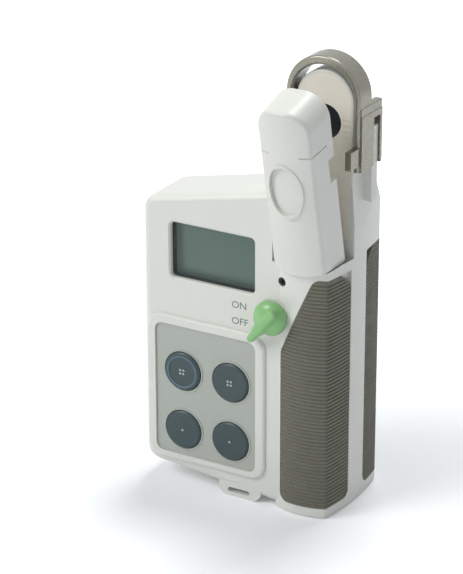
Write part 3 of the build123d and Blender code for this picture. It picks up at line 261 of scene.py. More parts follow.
def new_material(name):
    """Empty node material with its output node."""
    material = bpy.data.materials.new(name)
    material.use_nodes = True
    material.node_tree.nodes.clear()
    return material, material.node_tree, material.node_tree.nodes.new("ShaderNodeOutputMaterial")


def surface_material(name, colour, roughness, grain_mm, grain_height_mm, tint=0.03, shine=0.04, **sockets):
    """One finish: a base colour that wanders a little, roughness that wanders with it, and a fine grain.

    The colour is mixed with a darker one by broad noise 15 mm across, the roughness follows noise 4 mm
    across, and the bump is noise whose cells are grain_mm across. The real grains, 0.02 to 0.1 mm, are too
    fine to show, so grain_mm is as coarse as it needs to be in the render.
    """
    material, tree, output = new_material(name)
    place = add_node(tree, "ShaderNodeTexCoord")
    where = {"Vector": (place, "Object")}
    broad = add_node(tree, "ShaderNodeTexNoise", {"Scale": 1 / (15 * MM), "Detail": 3.0}, where)
    shades = {FIRST: shaded(colour, 1), SECOND: shaded(colour, 1 - 2 * tint)}
    mix = add_node(tree, "ShaderNodeMix", shades, {FACTOR: (broad, "Fac")}, data_type="RGBA")
    patches = add_node(tree, "ShaderNodeTexNoise", {"Scale": 1 / (4 * MM), "Detail": 2.0}, where)
    rough = add_node(
        tree,
        "ShaderNodeMapRange",
        {"From Min": 0.3, "From Max": 0.7, "To Min": roughness - shine, "To Max": roughness + shine},
        {"Value": (patches, "Fac")},
    )
    grain = add_node(tree, "ShaderNodeTexNoise", {"Scale": 1 / (grain_mm * MM), "Detail": 2.0}, where)
    depth = {"Strength": 1.0, "Distance": grain_height_mm * MM}
    bump = add_node(tree, "ShaderNodeBump", depth, {"Height": (grain, "Fac")})
    shader = add_node(
        tree,
        "ShaderNodeBsdfPrincipled",
        sockets,
        {"Base Color": (mix, RESULT), "Roughness": (rough, "Result"), "Normal": (bump, "Normal")},
    )
    tree.links.new(shader.outputs[0], output.inputs["Surface"])
    return material, tree, shader, mix, place


def plain_material(*finish, **more):
    """Finish with nothing drawn on it."""
    return surface_material(*finish, **more)[0]


def key_material(name, colour, dot_colour, ring_colour):
    """Moulded ABS key, satin from a spark-eroded tool: dark, with dots and a ring in lighter shades.

    Whatever stands 0.08 mm in front of the key's flat face takes the dots' shade, and what stands 0.22 mm
    in front of it the ring's, because the ring is the higher one.
    """
    material, tree, shader, mix, place = surface_material(name, colour, 0.4, 0.3, 0.006, tint=0.04, IOR=1.53)
    split = add_node(tree, "ShaderNodeSeparateXYZ", None, {"Vector": (place, "Object")})
    for mark_colour, rise in ((dot_colour, DOT_RISE), (ring_colour, RING_RISE)):
        limit = {1: (KEY_FRONT - rise) * MM}
        raised = add_node(tree, "ShaderNodeMath", limit, {0: (split, "Y")}, operation="LESS_THAN")
        links = {FACTOR: (raised, 0), FIRST: (mix, RESULT)}
        mix = add_node(tree, "ShaderNodeMix", {SECOND: tuple(mark_colour)}, links, data_type="RGBA")
    tree.links.new(mix.outputs[RESULT], shader.inputs["Base Color"])
    return material


def display_material(name, colour):
    """Polished liquid crystal glass, switched off: grey-green and glossy, with painted shade that darkens it
    towards the top.
    """
    material, tree, shader, mix, place = surface_material(name, colour, 0.22, 0.4, 0.001, tint=0.02, IOR=1.5)
    split = add_node(tree, "ShaderNodeSeparateXYZ", None, {"Vector": (place, "Object")})
    # Painted shade: between the two heights the glass goes from its colour down to 0.85 of it at the top
    span = {"From Min": DISPLAY_SHADE_LOW * MM, "From Max": DISPLAY_SHADE_HIGH * MM, "To Min": 0.0, "To Max": 1.0}
    height = add_node(tree, "ShaderNodeMapRange", span, {"Value": (split, "Z")})
    links = {FACTOR: (height, "Result"), FIRST: (mix, RESULT)}
    top_shaded_glass = add_node(tree, "ShaderNodeMix", {SECOND: shaded(colour, 0.85)}, links, data_type="RGBA")
    tree.links.new(top_shaded_glass.outputs[RESULT], shader.inputs["Base Color"])
    return material


def clear_material(name):
    """Cast acrylic, polished: hardly any colour, sharp reflections, and what is behind shows through."""
    material, tree, output = new_material(name)
    clear = add_node(tree, "ShaderNodeBsdfTransparent", {"Color": linear("F2F6F4")})
    polish = {"Base Color": linear("DDE4E2"), "Roughness": 0.08, "IOR": 1.49}
    gloss = add_node(tree, "ShaderNodeBsdfPrincipled", polish)
    edge = add_node(tree, "ShaderNodeFresnel", {"IOR": 1.49})
    mixed = add_node(tree, "ShaderNodeMixShader", None, {0: (edge, 0), 1: (clear, 0), 2: (gloss, 0)})
    tree.links.new(mixed.outputs[0], output.inputs["Surface"])
    return material


def flake_paint(name, colour):
    """Metallic paint sprayed on a die-cast arch: flakes glint in a warm grey, satin coat.

    Real flakes are some 0.03 mm across and too fine to show, so they are drawn 0.25 mm across.
    """
    finish = {"tint": 0.06, "shine": 0.04, "Metallic": 0.6}
    material, tree, shader, mix, place = surface_material(name, colour, 0.27, 0.25, 0.003, **finish)
    where = {"Vector": (place, "Object")}
    flakes = add_node(tree, "ShaderNodeTexVoronoi", {"Scale": 1 / (0.25 * MM)}, where)
    span = {"From Min": 0.0, "From Max": 1.0, "To Min": 0.92, "To Max": 1.12}
    glint = add_node(tree, "ShaderNodeMapRange", span, {"Value": (flakes, "Color")})
    links = {0: (mix, RESULT), 1: (glint, "Result")}
    bright = add_node(tree, "ShaderNodeVectorMath", None, links, operation="MULTIPLY")
    tree.links.new(bright.outputs[0], shader.inputs["Base Color"])
    return material


def grip_material(name, colour):
    """Thermoplastic elastomer, moulded matt: a dull olive grey with a dusty bloom in spots."""
    finish = {"tint": 0.08, "shine": 0.06, "IOR": 1.48}
    material, tree, shader, mix, place = surface_material(name, colour, 0.62, 0.35, 0.02, **finish)
    where = {"Vector": (place, "Object")}
    fine = add_node(tree, "ShaderNodeTexNoise", {"Scale": 1 / (0.6 * MM), "Detail": 3.0}, where)
    span = {"From Min": 0.45, "From Max": 0.75, "To Min": 0.0, "To Max": 0.5}
    bloom = add_node(tree, "ShaderNodeMapRange", span, {"Value": (fine, "Fac")})
    links = {FACTOR: (bloom, "Result"), FIRST: (mix, RESULT)}
    dusty = add_node(tree, "ShaderNodeMix", {SECOND: shaded(colour, 1.35)}, links, data_type="RGBA")
    tree.links.new(dusty.outputs[RESULT], shader.inputs["Base Color"])
    return material


def laminate_material(name, colour):
    """Glass-epoxy circuit board, pressed and then coated: green solder mask through which a weave shows.

    The real weave is about 0.4 mm from thread to thread, and is drawn 0.9 mm.
    """
    material, tree, shader, mix, place = surface_material(name, colour, 0.35, 0.9, 0.01, tint=0.1, IOR=1.55)
    where = {"Vector": (place, "Object")}
    weave = add_node(tree, "ShaderNodeTexWave", {"Scale": 1 / (0.9 * MM), "Distortion": 0.5}, where)
    links = {FACTOR: (weave, "Fac"), FIRST: (mix, RESULT)}
    woven = add_node(tree, "ShaderNodeMix", {SECOND: shaded(colour, 1.5)}, links, data_type="RGBA")
    tree.links.new(woven.outputs[RESULT], shader.inputs["Base Color"])
    return material


def need(*nodes):
    """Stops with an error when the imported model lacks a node."""
    missing = [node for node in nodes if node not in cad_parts]
    if missing:
        raise RuntimeError("the packed model lacks " + ", ".join(missing))


def dress(material, *nodes):
    """Gives CAD nodes a material."""
    need(*nodes)
    for node in nodes:
        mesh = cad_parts[node].data
        mesh.materials.clear()
        mesh.materials.append(material)


def piece_from_arrays(name, points, faces, material, body, sharp=50):
    """Object from arrays of points and faces, with doubles merged and its normals turned outwards.

    Edges that bend by more than the angle sharp, in degrees, stay sharp.
    """
    mesh = bpy.data.meshes.new(name)
    mesh.from_pydata(points.reshape(-1, 3).tolist(), [], faces.tolist())
    work = bmesh.new()
    work.from_mesh(mesh)
    bmesh.ops.remove_doubles(work, verts=work.verts, dist=WELD_DISTANCE)
    bmesh.ops.dissolve_degenerate(work, dist=SLIVER_LENGTH, edges=work.edges)
    bmesh.ops.recalc_face_normals(work, faces=work.faces)
    work.to_mesh(mesh)
    work.free()
    mesh.polygons.foreach_set("use_smooth", np.ones(len(mesh.polygons), bool))
    mesh.set_sharp_from_angle(angle=radians(sharp))
    mesh.materials.append(material)
    piece = bpy.data.objects.new(name, mesh)
    bpy.context.scene.collection.objects.link(piece)
    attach(piece, body)
    return piece


def grid_faces(rows, columns, closed=False):
    """Quads of a grid of points counted row by row; a closed grid joins its last column to its first."""
    across = np.arange(columns if closed else columns - 1)
    upward = np.arange(rows - 1)[:, None]
    here = upward * columns + across
    right = upward * columns + (across + 1) % columns
    return np.stack([here, right, right + columns, here + columns], -1).reshape(-1, 4)


def circle_through(start, middle, end, count):
    """Points on the arc through three points: the centre is where the bisectors of its two chords cross."""
    a, b, c = (np.array(p, float) for p in (start, middle, end))
    centre = np.linalg.solve(2 * np.array([b - a, c - a]), [b @ b - a @ a, c @ c - a @ a])
    angle = [np.arctan2(*(p - centre)[::-1]) for p in (a, b, c)]
    turn = np.unwrap(angle)
    around = np.linspace(turn[0], turn[2], count)
    return centre + np.linalg.norm(a - centre) * np.stack([np.cos(around), np.sin(around)], -1)


def rounded_join(first, second, radius):
    """Two runs of points joined by a quadratic curve that leaves them where a circle of the radius would."""
    ahead = first[-1] - first[-2]
    after = second[1] - second[0]
    turn = np.arccos(np.clip(ahead @ after / np.linalg.norm(ahead) / np.linalg.norm(after), -1, 1))
    reach = radius * np.tan(turn / 2)
    corner = first[-1]
    kept = first[np.linalg.norm(first - corner, axis=1) > reach]
    rest = second[np.linalg.norm(second - corner, axis=1) > reach]
    share = np.linspace(0, 1, 9)[:, None]
    curve = (1 - share) ** 2 * kept[-1] + 2 * share * (1 - share) * corner + share**2 * rest[0]
    return np.vstack([kept[:-1], curve, rest[1:]])


def edge_spacing(count):
    """Shares from 0 to 1 that crowd at both ends, as the cosine does."""
    return (1 - np.cos(np.linspace(0, pi, count))) / 2


def corner_rise(distance, radius):
    """How far a quarter circle stands above its lowest line, at a distance from the upright edge it meets."""
    inside = np.clip(radius - distance, 0, radius)
    return radius - np.sqrt(radius**2 - inside**2)


def sloping_edge(x, left, low, corner, high, radius):
    """Height of an edge that stands upright at the left, slopes up to the corner and then runs level.

    Both bends are arcs of the radius: each starts at radius times tan(turn / 2) from its corner.
    """
    slope = (high - low) / (corner - left)
    turn = np.arctan(slope)
    first, second = radius * np.tan(pi / 4 - turn / 2), radius * np.tan(turn / 2)
    line = low + slope * (x - left)
    lower = low - first + np.sqrt(radius**2 - np.clip(left + radius - x, 0, radius) ** 2)
    upper = high - radius + np.sqrt(radius**2 - np.clip(corner + second - x, 0, radius) ** 2)
    edge = np.where(x < left + first * np.cos(turn), lower, line)
    return np.where(x > corner - second * np.cos(turn), upper, edge)


def front_pad_bottom(plan, at, total):
    """Bottom edge, level, with a corner at both ends."""
    left_corner = corner_rise(plan[:, 0] - FRONT_PAD_LEFT, PAD_CORNER) * (plan[:, 1] < FRONT_LIMIT)
    return PAD_FOOT + left_corner + corner_rise(total - at, PAD_CORNER)


def front_pad_top(plan, at, total):
    """Top edge: it slopes up to the crease, runs level, and turns down on the shoulder at the far end."""
    edge = sloping_edge(plan[:, 0], *FRONT_PAD_EDGE)
    return np.where(plan[:, 1] < FRONT_LIMIT, edge, FRONT_PAD_TOP) - corner_rise(total - at, PAD_SHOULDER)


def rear_pad_bottom(plan, at, total):
    """Bottom edge, level, with a corner where the pad starts on the side."""
    return PAD_FOOT + corner_rise(at, PAD_CORNER)


def rear_pad_top(plan, at, total):
    """Top edge: up on the shoulder, level round the crease, and down a slope across the back."""
    edge = sloping_edge(plan[:, 0], *REAR_PAD_EDGE)
    return np.where(plan[:, 1] > BACK_LIMIT, edge, REAR_PAD_TOP) - corner_rise(at, PAD_SHOULDER)


def ribbed_grip(name, outline, bottom, top, proud, sizes, material):
    """Closed ribbed pad on the column.

    A point at share s along the outline and at height z stands the length proud outside the outline, less
    the groove at z and less a rounding at both ends. The groove is a trapezium wave in z: full depth over
    the groove's share of the pitch, with flanks of 0.12 of the pitch. It fades out at both ends and keeps
    clear of the bottom and top edges, between which every height is held, so those edges may slope and
    turn. The back of the pad is the same outline moved inwards by the pad's thickness.
    """
    pitch, depth = sizes.rib_pitch / MM, sizes.rib_depth / MM
    length = np.concatenate([[0], np.cumsum(np.linalg.norm(np.diff(outline, axis=0), axis=1))])
    at = edge_spacing(PAD_COLUMNS) * length[-1]
    plan = np.stack([np.interp(at, length, outline[:, i]) for i in (0, 1)], -1)
    low, high = bottom(plan, at, length[-1]), top(plan, at, length[-1])
    along = np.gradient(plan, at + 1e-9 * np.arange(len(at)), axis=0)
    along /= np.linalg.norm(along, axis=1)[:, None]
    outward = np.stack([along[:, 1], -along[:, 0]], -1)
    ribs = np.arange(np.floor(low.min() / pitch), np.ceil(high.max() / pitch) + 1)
    height = ((ribs[:, None] + RIB_ROWS) * pitch).ravel()
    share = np.tile(RIB_ROWS, len(ribs))
    start = 1 - sizes.groove_share
    groove = np.clip(np.minimum(share - start, 1 - share) / GROOVE_FLANK, 0, 1) * depth
    z = np.clip(height[:, None], low, high)
    inside = (height[:, None] > low + BARE_FOOT) & (height[:, None] < high - BARE_TOP)
    to_end = np.minimum(at, at[-1] - at)
    inset = np.where(inside, groove[:, None], 0.0) * np.clip(to_end / GROOVE_RUNOUT, 0, 1)
    edge_round = END_ROUND * (1 - np.clip(to_end / END_ROUND, 0, 1)) ** 2
    outer = plan + (proud - inset - edge_round)[..., None] * outward
    inner = np.broadcast_to(plan - sizes.pad_thickness / MM * outward, outer.shape)
    outer = np.concatenate([outer, z[..., None]], -1)
    inner = np.concatenate([inner, z[..., None]], -1)
    loop = np.concatenate([outer, inner[:, ::-1]], 1) * MM
    rows, columns = loop.shape[:2]
    faces = grid_faces(rows, columns, closed=True)
    half = np.arange(columns // 2 - 1)
    cap = np.stack([half, half + 1, columns - 2 - half, columns - 1 - half], -1)
    faces = np.vstack([faces, cap[:, ::-1], cap + (rows - 1) * columns])
    return piece_from_arrays(name, loop, faces, material, "housing", sharp=60)


def coil(name, centre, length, radius, wire, turns, material):
    """Spring wire: a circle of the wire's radius carried along a helix round X, closed at both ends.

    The helix at share s is (s length, radius cos a, radius sin a), with a = 2 pi turns s.
    """
    share = np.linspace(0, 1, turns * TURN_POINTS + 1)
    around = 2 * pi * turns * share
    outward = np.stack([0 * around, np.cos(around), np.sin(around)], -1)
    line = radius * outward
    line[:, 0] = wire + share * (length - 2 * wire)
    along = np.gradient(line, axis=0)
    along /= np.linalg.norm(along, axis=1)[:, None]
    across = np.cross(along, outward)
    ring = np.linspace(0, 2 * pi, WIRE_POINTS, endpoint=False)[:, None]
    size = wire * np.where((share == 0) | (share == 1), 0.02, 1.0)[:, None, None]
    shell = line[:, None] + size * (np.cos(ring) * outward[:, None] + np.sin(ring) * across[:, None])
    quads = grid_faces(len(share), WIRE_POINTS, closed=True)
    return piece_from_arrays(name, shell + np.array(centre), quads, material, "housing")


def screws(name, places, depths, radii, material):
    """Screws turned round the Y axis: a shaft, a rounded head and a four-lobed drive recess.

    Each ring of the profile is a radius at a depth. The recess has the radius a (0.4 + 0.6 cos^2 2t) at the
    angle t. The depths run from the tip over the underside to the face of the head.
    """
    tip, under, face = depths
    head_radius, shaft_radius, drive_radius = radii
    away = np.sign(face - under)
    around = np.linspace(0, 2 * pi, SCREW_COLUMNS, endpoint=False)
    plain = np.ones_like(around)
    lobes = drive_radius * (0.4 + 0.6 * np.cos(2 * around) ** 2)
    floor = face - away * DRIVE_DEPTH_SHARE * abs(face - under)
    profile = (
        (0 * plain, tip),
        (shaft_radius * plain, tip),
        (shaft_radius * plain, under),
        (head_radius * plain, under),
        (head_radius * plain, face - away * HEAD_ROUND),
        ((head_radius - 0.3 * HEAD_ROUND) * plain, face - away * 0.3 * HEAD_ROUND),
        ((head_radius - HEAD_ROUND) * plain, face),
        (lobes, face),
        (0.8 * lobes, floor),
        (0 * plain, floor),
    )
    rings = np.stack([ring for ring, _ in profile])
    depth = np.array([level for _, level in profile])
    levels = np.broadcast_to(depth[:, None], rings.shape)
    one = np.stack([rings * np.cos(around), levels, rings * np.sin(around)], -1)
    points = (one[None] + np.array([(x, 0, z) for x, z in places])[:, None, None]) * MM
    quads = grid_faces(*rings.shape, closed=True)
    faces = (quads[None] + rings.size * np.arange(len(places))[:, None, None]).reshape(-1, 4)
    return piece_from_arrays(name, points, faces, material, "housing", sharp=35)


def printed_word(name, word, middle, height, material):
    """Word as a thin layer of ink on the cover: the font's outline, made a mesh and laid on the face."""
    curve = bpy.data.curves.new(name, "FONT")
    curve.body = word
    curve.extrude = 0.02
    holder = bpy.data.objects.new(name + "_outline", curve)
    bpy.context.scene.collection.objects.link(holder)
    bpy.context.view_layer.update()
    mesh = bpy.data.meshes.new_from_object(holder.evaluated_get(bpy.context.evaluated_depsgraph_get()))
    bpy.data.objects.remove(holder)
    if not mesh.vertices:
        raise RuntimeError("the word " + name + " has no outline")
    flat = np.zeros(len(mesh.vertices) * 3)
    mesh.vertices.foreach_get("co", flat)
    flat = flat.reshape(-1, 3)
    low, high = flat.min(0), flat.max(0)
    scale = height / (high[1] - low[1])
    ink = INK_THICKNESS * MM
    x = WORD_LEFT * MM + (flat[:, 0] - low[0]) * scale * WORD_STRETCH
    y = WORD_FACE * MM - ink * (flat[:, 2] - low[2]) / (high[2] - low[2]) + INK_SUNK * MM
    z = middle * MM + (flat[:, 1] - (low[1] + high[1]) / 2) * scale
    mesh.vertices.foreach_set("co", np.stack([x, y, z], -1).ravel())
    mesh.materials.clear()
    mesh.materials.append(material)
    piece = bpy.data.objects.new(name, mesh)
    bpy.context.scene.collection.objects.link(piece)
    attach(piece, "housing")


def grip_knob(name, material):
    """Round knob with a grip bar across it that runs out into a lever, one height field over its outline.

    Along the lever is u, across it v. The outline is the larger polar radius of a circle and of two bars
    with round ends. The height is the smooth larger one of a dome, skirt + d sqrt(1 - (r/R)^2), and of the
    two bars, whose sections are top (1 - (v/w)^4)^(1/4). The lever's back is lifted clear of the cover.
    """
    radius = KNOB_RADIUS
    even = np.linspace(0, 2 * pi, KNOB_COLUMNS, endpoint=False)
    # More columns go where the lever is
    around = even - 0.72 * np.sin(even)
    reach = np.full_like(around, radius)
    for length, half, *_ in KNOB_BARS:
        middle = length - half
        inside = np.maximum(half**2 - (middle * np.sin(around)) ** 2, 0)
        end = middle * np.cos(around) + np.sqrt(inside)
        side = half / np.maximum(np.abs(np.sin(around)), 1e-6)
        bar = np.where(side * np.cos(around) > middle, end, side) * (np.cos(around) > 0)
        reach = np.maximum(reach, bar)
    share = edge_spacing(KNOB_ROWS)[:, None]
    u, v = share * reach * np.cos(around), share * reach * np.sin(around)
    away = np.hypot(u, v)
    dome = KNOB_DOME * np.sqrt(np.clip(1 - (away / radius) ** 2, 0, 1))
    height = KNOB_SKIRT * (away <= radius + 1e-6) + dome
    for length, half, start, first, last in KNOB_BARS:
        top = first + (last - first) * np.clip((u - start) / (length - start), 0, 1)
        beyond = np.maximum(np.maximum(u - (length - half), start + half - u), 0)
        section = np.clip(1 - (np.hypot(v, beyond) / half) ** 4, 0, 1) ** 0.25
        bar = top * section
        height = 0.5 * (height + bar + np.sqrt((height - bar) ** 2 + 0.12 * section))
    lift = LEVER_LIFT * np.clip((away - radius + LEVER_LIFT_RUN) / (2 * LEVER_LIFT_RUN), 0, 1)
    height = np.maximum(height, lift)
    spread = np.concatenate([np.stack([u, v, lift], -1), np.stack([u, v, height], -1)[::-1]])
    along, across, rise = np.moveaxis(spread, -1, 0)
    turn = radians(KNOB_TURN)
    x = KNOB_CENTRE[0] + along * cos(turn) - across * sin(turn)
    z = KNOB_CENTRE[1] + along * sin(turn) + across * cos(turn)
    points = np.stack([x, KNOB_BACK - rise, z], -1) * MM
    quads = grid_faces(*x.shape, closed=True)
    return piece_from_arrays(name, points, quads, material, "knob", sharp=60)


class METER_OT_housing(bpy.types.Operator):
    """Finish the housing, the measuring head and the battery door"""

    bl_idname = "meter.housing"
    bl_label = "Housing"

    def execute(self, context):
        colours = context.scene.meter_colours
        # ABS, injection moulded in a spark-eroded tool: an even, slightly warm white with soft highlights
        satin = {"tint": 0.012, "shine": 0.03, "IOR": 1.53}
        white = plain_material("abs_satin_white", colours.housing, 0.36, 0.3, 0.006, **satin)
        dress(white, "front_cover", "rear_cover", "battery_door", "head_outer_shell", "head_inner_shell")
        # ABS, moulded in a coarser tool: a matt beige that shows no reflections beside the dark window
        beige = plain_material("abs_matt_beige", colours.face, 0.5, 0.3, 0.008, tint=0.02, IOR=1.53)
        dress(beige, "receptor_face")
        # Polycarbonate, dyed and moulded in a polished tool: near black, with sharp reflections
        dark = linear("2B2F31")
        smoked = plain_material("polycarbonate_smoked", dark, 0.18, 0.4, 0.001, tint=0.05, IOR=1.58)
        dress(smoked, "receptor_window", "photodiode")
        # Neoprene foam, cut from sheet: a soft dull black that takes light without any gloss
        rubber = plain_material("neoprene_black", linear("2A2A29"), 0.7, 0.3, 0.02, tint=0.08, IOR=1.5)
        dress(rubber, "housing_seal", "emitter_seal")
        return {"FINISHED"}


class METER_OT_display(bpy.types.Operator):
    """Finish the display, its window and the key plate"""

    bl_idname = "meter.display"
    bl_label = "Display and key plate"

    def execute(self, context):
        colours = context.scene.meter_colours
        dress(display_material("liquid_crystal_glass", colours.display), "lcd_panel")
        dress(clear_material("acrylic_clear"), "display_window", "emitter_window")
        # Polyester film, printed on its back and textured on its front: an even grey-green, nearly matt
        film = {"tint": 0.02, "IOR": 1.55}
        plate = plain_material("polyester_plate_grey_green", colours.label, 0.45, 0.35, 0.008, **film)
        dress(plate, "key_label")
        return {"FINISHED"}


class METER_OT_keys(bpy.types.Operator):
    """Finish the four keys and the mat behind them"""

    bl_idname = "meter.keys"
    bl_label = "Keys"

    def execute(self, context):
        colours = context.scene.meter_colours
        keys = key_material("abs_satin_slate", colours.keys, colours.key_dots, colours.key_ring)
        dress(keys, "average_key", "clear_key", "recall_key", "delete_key")
        # Silicone rubber, compression moulded: a dull mid grey, slightly dusty
        mat = plain_material("silicone_grey", linear("9A9A98"), 0.6, 0.4, 0.01, tint=0.03, IOR=1.41)
        dress(mat, "key_mat")
        return {"FINISHED"}


class METER_OT_knob(bpy.types.Operator):
    """Finish the power knob and print the words beside it"""

    bl_idname = "meter.knob"
    bl_label = "Power knob"

    def execute(self, context):
        scene = context.scene
        colours, sizes, words = scene.meter_colours, scene.meter_sizes, scene.meter_words
        need("power_knob")
        # Acetal, dyed and moulded in a polished tool: a light leaf green with slightly waxy highlights
        waxy = {"tint": 0.03, "shine": 0.03, "IOR": 1.48}
        gloss = plain_material("acetal_green", colours.knob, 0.22, 0.5, 0.002, **waxy)
        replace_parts(grip_knob("knob_with_lever", gloss), "power_knob")
        # Screen-printed ink: a thin, matt grey-green layer that lies on the moulded face
        ink = plain_material("screen_ink_grey", colours.ink, 0.55, 0.2, 0.004, tint=0.05, IOR=1.5)
        printed_word("word_on", words.upper, UPPER_WORD_HEIGHT, sizes.letter_height, ink)
        printed_word("word_off", words.lower, LOWER_WORD_HEIGHT, sizes.letter_height, ink)
        return {"FINISHED"}


class METER_OT_grips(bpy.types.Operator):
    """Make the two ribbed grips"""

    bl_idname = "meter.grips"
    bl_label = "Ribbed grips"

    def execute(self, context):
        need("front_grip_pad", "rear_grip_pad")
        sizes = context.scene.meter_sizes
        rubber = grip_material("elastomer_olive_grey", context.scene.meter_colours.grips)
        sides = (FRONT_SIDE, RIGHT_SIDE, BACK_SIDE)
        front, right, back = (circle_through(*side, SIDE_POINTS) for side in sides)
        outline = rounded_join(front, right, FRONT_CREASE)
        outline = outline[(outline[:, 0] >= FRONT_PAD_LEFT) & (outline[:, 1] <= FRONT_PAD_END)]
        edges = (front_pad_bottom, front_pad_top)
        grip = ribbed_grip("front_ribbed_grip", outline, *edges, FRONT_PAD_PROUD, sizes, rubber)
        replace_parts(grip, "front_grip_pad")
        outline = rounded_join(right, back, BACK_CREASE)
        outline = outline[(outline[:, 0] >= REAR_PAD_LEFT) & (outline[:, 1] >= REAR_PAD_START)]
        grip = ribbed_grip("rear_ribbed_grip", outline, rear_pad_bottom, rear_pad_top, 0.0, sizes, rubber)
        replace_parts(grip, "rear_grip_pad")
        return {"FINISHED"}


class METER_OT_stopper(bpy.types.Operator):
    """Finish the depth stopper"""

    bl_idname = "meter.stopper"
    bl_label = "Depth stopper"

    def execute(self, context):
        dress(flake_paint("metallic_paint_grey", context.scene.meter_colours.stopper), "depth_stopper")
        return {"FINISHED"}


class METER_OT_inside(bpy.types.Operator):
    """Finish the fasteners and the pieces inside, and wind the head's spring"""

    bl_idname = "meter.inside"
    bl_label = "Fasteners and inside"

    def execute(self, context):
        need("case_screws", "front_screw", "head_spring")
        sizes = context.scene.meter_sizes
        # Steel, cold formed and zinc plated: a cool light grey metal with satin reflections
        zinc = {"tint": 0.05, "Metallic": 1.0}
        steel = plain_material("zinc_plated_steel", linear("A9A9A5"), 0.32, 0.2, 0.004, **zinc)
        dress(steel, "hinge_pin", "click_spring")
        # Steel, cold formed and blackened: a dark metal whose edges alone catch light
        oxide = {"tint": 0.08, "Metallic": 0.8}
        black = plain_material("black_oxide_steel", linear("3B3A37"), 0.38, 0.2, 0.004, **oxide)
        case_set = screws("case_screw_set", CASE_SCREW_PLACES, CASE_SCREW_DEPTHS, CASE_SCREW_RADII, steel)
        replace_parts(case_set, "case_screws")
        column = screws("column_screw", COLUMN_SCREW_PLACES, COLUMN_SCREW_DEPTHS, COLUMN_SCREW_RADII, black)
        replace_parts(column, "front_screw")
        low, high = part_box("head_spring")
        wire = sizes.wire_radius
        radius = (high.z - low.z) / 2 - wire
        centre = (low.x, (low.y + high.y) / 2, (low.z + high.z) / 2)
        spring = coil("head_return_spring", centre, high.x - low.x, radius, wire, sizes.spring_turns, steel)
        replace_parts(spring, "head_spring")
        board = laminate_material("epoxy_laminate_green", linear("2F6B3E"))
        dress(board, "main_board", "led_board", "receptor_board")
        # Nylon, injection moulded: an even dark grey with a broad dull highlight
        nylon = plain_material("nylon_black", linear("3A3D3E"), 0.5, 0.3, 0.01, tint=0.06, IOR=1.53)
        dress(nylon, "lcd_holder", "rotary_switch", "buzzer", "battery_tray", "knob_shaft")
        # Steel cans in a printed film sleeve: a blue-grey sheen, softer than that of bare metal
        sleeve = {"tint": 0.03, "Metallic": 0.6}
        jacket = plain_material("printed_steel_jacket", linear("8C9096"), 0.3, 0.3, 0.002, **sleeve)
        dress(jacket, "battery_cells")
        # Spring steel, stamped and nickel plated: a warm bright metal with fairly sharp reflections
        plating = {"tint": 0.03, "Metallic": 1.0}
        nickel = plain_material("nickel_plated_steel", linear("C9C4B8"), 0.25, 0.2, 0.002, **plating)
        dress(nickel, "battery_contacts")
        # Epoxy resin, dyed and cast: a glossy red drop
        resin = plain_material("epoxy_lamp_red", linear("C8463C"), 0.15, 0.5, 0.002, tint=0.05, IOR=1.55)
        dress(resin, "emitter_leds")
        return {"FINISHED"}


def seen_rays(tree):
    """Value that is 1 for what a view or a reflection sees, and 0 for what lights the object."""
    path = add_node(tree, "ShaderNodeLightPath")
    links = {0: (path, "Is Camera Ray"), 1: (path, "Is Glossy Ray")}
    seen = add_node(tree, "ShaderNodeMath", None, links, operation="MAXIMUM")
    links = {0: (seen, 0), 1: (path, "Is Transmission Ray")}
    return add_node(tree, "ShaderNodeMath", None, links, operation="MAXIMUM")


def stage_material(name, lit):
    """Studio paper, uncoated: it takes the object's shadow, and a glow that only views see keeps it white.

    The glow rises from its value near the object to its value further away, so the paper round the object is
    darker: painted shade.
    """
    painted_shade_glow, near, far_glow, far = PAPER_GLOW
    material, tree, output = new_material(name)
    paper = add_node(tree, "ShaderNodeBsdfDiffuse", {"Color": lit})
    seen = seen_rays(tree)
    place = add_node(tree, "ShaderNodeTexCoord")
    away = add_node(tree, "ShaderNodeVectorMath", None, {0: (place, "Object")}, operation="LENGTH")
    span = {"From Min": near, "From Max": far, "To Min": painted_shade_glow, "To Max": far_glow}
    # Painted shade: less glow near the object leaves the paper darker there
    rise = add_node(tree, "ShaderNodeMapRange", span, {"Value": (away, "Value")})
    links = {0: (seen, 0), 1: (rise, "Result")}
    strength = add_node(tree, "ShaderNodeMath", None, links, operation="MULTIPLY")
    light = add_node(tree, "ShaderNodeEmission", {"Color": (1, 1, 1, 1)}, {"Strength": (strength, 0)})
    both = add_node(tree, "ShaderNodeAddShader", None, {0: (paper, 0), 1: (light, 0)})
    tree.links.new(both.outputs[0], output.inputs["Surface"])
    return material


def paper_sweep():
    """Paper that lies flat, bends up behind the object on a quarter circle and then stands upright."""
    arc = np.linspace(0, pi / 2, 17)
    bend_depth = PAPER_BEND_START + PAPER_BEND * np.sin(arc)
    bend_height = PAPER_BEND - PAPER_BEND * np.cos(arc)
    depth = np.concatenate([[PAPER_FRONT, -PAPER_FLAT, PAPER_FLAT], bend_depth, [PAPER_BACK]])
    height = np.concatenate([[0, 0, 0], bend_height, [PAPER_TOP]])
    across = np.linspace(-PAPER_HALF_WIDTH, PAPER_HALF_WIDTH, 9)
    grid = np.stack(np.broadcast_arrays(across[None, :], depth[:, None], height[:, None]), -1)
    mesh = bpy.data.meshes.new("paper_sweep")
    mesh.from_pydata(grid.reshape(-1, 3).tolist(), [], grid_faces(*grid.shape[:2]).tolist())
    mesh.polygons.foreach_set("use_smooth", np.ones(len(mesh.polygons), bool))
    mesh.materials.append(stage_material("studio_paper", linear("F6F8FB")))
    sweep = bpy.data.objects.new("paper_sweep", mesh)
    bpy.context.scene.collection.objects.link(sweep)


